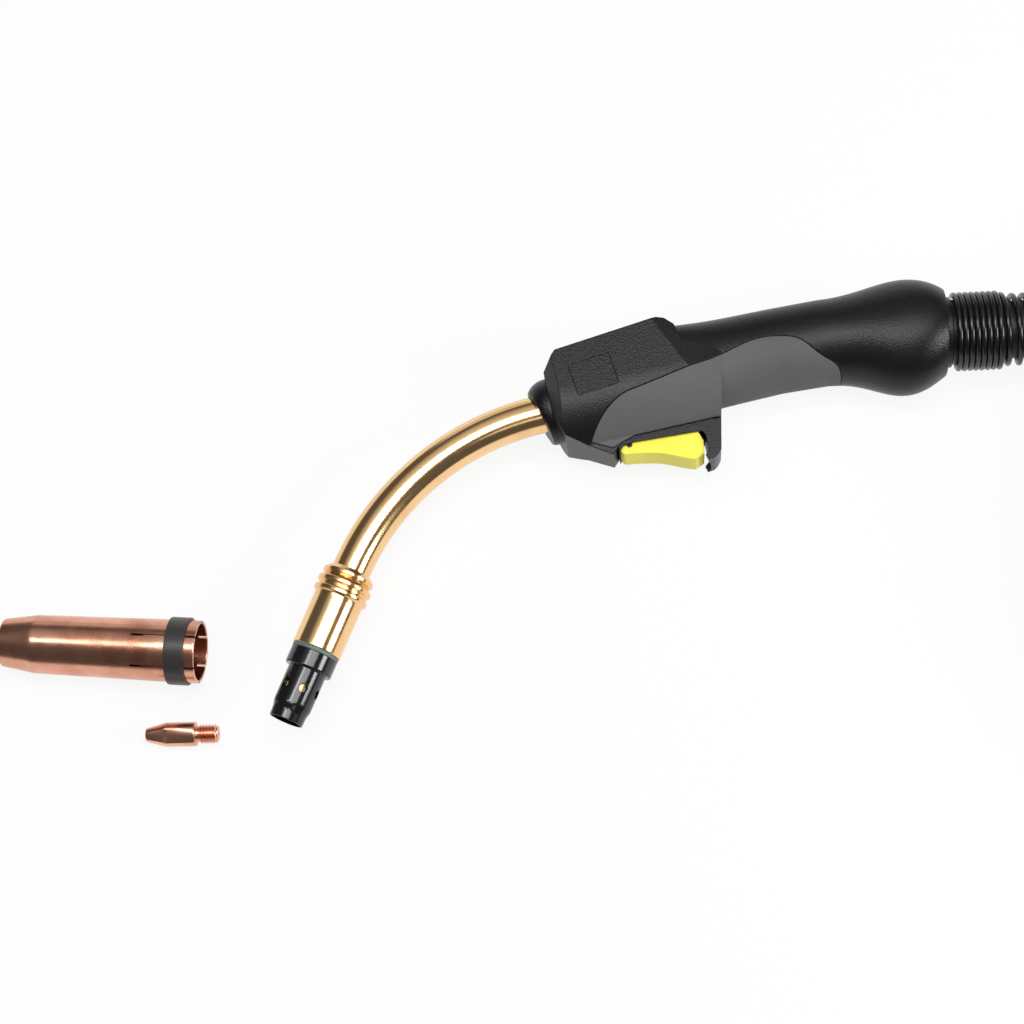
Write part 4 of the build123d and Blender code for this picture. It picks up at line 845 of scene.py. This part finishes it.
moulded("lead_red", (0.42, 0.03, 0.02), 0.4)
print("plastics, rubbers and blackened finishes:", len(finishes))

# %% [markdown]
# ## Metals
# Polished brass and drawn copper differ from plastic in having no colour of their own under the
# gloss: all of it is reflection. Their life comes from roughness: fine lines left by drawing or
# turning, smudges from handling, and a warmer tarnish in patches.
# %% Metal finishes


def metal(name, colour, tarnish, roughness, worn=0.62, smudge=0.1, lines=None, line_depth=0.0, heading=0.0):
    """A bare metal: tarnished in patches where a noise is above worn, with smudges in its roughness, and
    with drawn lines, a noise stretched by the three scales in lines along a heading in degrees."""
    finish = Finish(name)
    patches = finish.noise(45.0, detail=5.0).above(worn, 0.3)
    smudges = finish.noise(160.0, detail=4.0)
    sockets = {
        "Base_Color": finish.blend(patches, colour, tarnish),
        "Metallic": 1.0,
        "Roughness": roughness + smudge * smudges + 0.06 * patches,
    }
    if lines:
        turn = (0, 0, radians(-heading))
        stretched = {"Vector": finish.place, "Rotation": turn, "Scale": lines}
        drawn_place = finish.add("ShaderNodeMapping", {}, stretched)
        drawn = {"Vector": drawn_place, "Scale": 1.0, "Detail": 3.0}
        rows = finish.add("ShaderNodeTexNoise", {}, drawn, "Fac")
        sockets["Normal"] = finish.bump(rows, line_depth)
        sockets["Roughness"] = sockets["Roughness"] + 0.08 * rows
    finish.done(**sockets)


metal("brass", (0.97, 0.635, 0.32), (0.87, 0.53, 0.25), 0.13, smudge=0.06)
metal("brass_plain", (0.78, 0.56, 0.27), (0.6, 0.4, 0.18), 0.24)
metal("copper", (0.94, 0.49, 0.34), (0.66, 0.28, 0.18), 0.18)
metal(
    "nozzle_copper",
    (0.83, 0.42, 0.29),
    (0.5, 0.2, 0.12),
    0.08,
    worn=0.56,
    smudge=0.2,
    lines=(60, 1800, 1800),
    line_depth=0.00001,
    heading=nozzle_heading,
)
metal("steel", (0.56, 0.56, 0.57), (0.4, 0.4, 0.41), 0.25)

# %% [markdown]
# ## Which piece has which finish
# The record names a material for every node, and each piece made here was given the same slot as the
# node that it replaces. Three differ: the trigger's pin is blackened, the cable is a curve and so
# wasn't in the list, and the nozzle's copper has the lines left by drawing it.
# %% Finishes on pieces


def finished(made, name):
    """Gives a piece one finish in place of any that it has."""
    made.data.materials.clear()
    made.data.materials.append(finishes[name])


for subpart in frame["record"]["subparts"]:
    finished(nodes[subpart["node"]], subpart["material_slot"])
for made, slot in shown:
    finished(made, slot)
finished(nodes["trigger_pin"], "blackened")
finished(cable, "hose_black")
finished(nozzle, "nozzle_copper")
print("materials:", len(finishes), "finishes on", len(nodes), "nodes and", len(shown) + 1, "pieces")

# %% [markdown]
# ## The bench and the light
# The bench is white to the eye and to anything glossy, and still takes a soft shadow: its material
# mixes a diffuse white with a plain glow that only those rays see. Polished metal shows nothing but
# its surroundings, so they are laid out for it: the bench gives its pale edges, a dark surround its
# dark bands, and long soft boxes overhead its white stripes.
# %% The bench
bench_half = 4
floor_corners = [(x * bench_half, y * bench_half, 0) for x, y in ((-1, -1), (1, -1), (1, 1), (-1, 1))]
floor_mesh = bpy.data.meshes.new("floor")
floor_mesh.from_pydata(floor_corners, [], [(0, 1, 2, 3)])
floor = bpy.data.objects.new("floor", floor_mesh)
bpy.context.scene.collection.objects.link(floor)
bench = Finish("bench")
rays = [
    bench.add("ShaderNodeLightPath", output=name)
    for name in ("Is Camera Ray", "Is Glossy Ray", "Is Transmission Ray")
]
seen_share, mirrored_share = 0.9, 0.6
glow_share = seen_share * rays[0] + mirrored_share * (rays[1] + rays[2])
glow = bench.add("ShaderNodeEmission", {}, {"Color": (1, 1, 1, 1), "Strength": 1.0})
bench.done(Base_Color=(0.9, 0.9, 0.9, 1), Roughness=0.9)
diffuse = Value(bench, bench.shader.outputs[0])
mixed = bench.add("ShaderNodeMixShader", {}, {0: glow_share, 1: diffuse, 2: glow})
bench.tree.links.new(mixed.socket, bench.tree.nodes["Material Output"].inputs["Surface"])
floor_mesh.materials.append(bench.material)
print("bench:", 2 * bench_half, "m square")

# %% The soft boxes


def soft_box(name, place, size, radiance, target=(-60, -40, 0)):
    """An area lamp at a place in millimetres from the datum, turned to face a target there, with its
    width level. Its power is pi * area * radiance, so that it looks equally bright whatever its size."""
    lamp = bpy.data.lights.new(name, "AREA")
    lamp.shape = "RECTANGLE"
    lamp.size, lamp.size_y = size
    lamp.energy = pi * size[0] * size[1] * radiance
    held = bpy.data.objects.new(name, lamp)
    bpy.context.scene.collection.objects.link(held)
    stand, aim = Vector(from_datum(place)), Vector(from_datum(target))
    outward = (stand - aim).normalized()
    upward = Vector((0, 1, 0) if outward.z > 0.9 else (0, 0, 1))
    wide = upward.cross(outward).normalized()
    turned = Matrix((wide, outward.cross(wide), outward)).transposed()
    held.matrix_world = Matrix.Translation(stand) @ turned.to_4x4()


soft_box("overhead", (130, -20, 1300), (0.96, 0.62), 5.0)
soft_box("left", (-440, 150, 1300), (0.62, 0.2), 7.0, target=(-440, 150, 0))
soft_box("right", (840, -390, 450), (0.3, 0.36), 14.0)
soft_box("front", (0, -800, 1060), (0.5, 0.2), 1.2)
soft_box("back", (60, 1100, 200), (0.9, 0.35), 0.6)
lamps = [made for made in bpy.context.scene.objects if made.type == "LIGHT"]
print("soft boxes:", len(lamps), "with", round(sum(lamp.data.energy for lamp in lamps), 1), "W in all")

# %% [markdown]
# ## The surround
# The world has no picture in it. It glows by direction alone: the dot product of a ray's direction
# with the middle of a patch high up behind the bench is near 1 inside the patch and falls away from
# it, and a Map Range node makes the glow from that, dim all round and pale in the patch.
# %% The world
patch_middle, patch_edge, patch_core = (0.15, 0.34, 0.93), 0.76, 0.97
surround_glow, patch_glow = 0.1, 0.62
world = bpy.data.worlds.new("world")
bpy.context.scene.world = world
world.use_nodes = True
sky = world.node_tree
background = sky.nodes["Background"]
background.inputs["Color"].default_value = (1, 1, 1, 1)
direction = sky.nodes.new("ShaderNodeTexCoord")
nearness = sky.nodes.new("ShaderNodeVectorMath")
nearness.operation = "DOT_PRODUCT"
nearness.inputs[1].default_value = patch_middle
glow_range = sky.nodes.new("ShaderNodeMapRange")
glow_range.inputs["From Min"].default_value = patch_edge
glow_range.inputs["From Max"].default_value = patch_core
glow_range.inputs["To Min"].default_value = surround_glow
glow_range.inputs["To Max"].default_value = patch_glow
sky.links.new(direction.outputs["Generated"], nearness.inputs[0])
sky.links.new(nearness.outputs["Value"], glow_range.inputs["Value"])
sky.links.new(glow_range.outputs[0], background.inputs["Strength"])
bpy.context.scene.view_settings.view_transform = "Standard"
print("surround: glows from", surround_glow, "to", patch_glow)
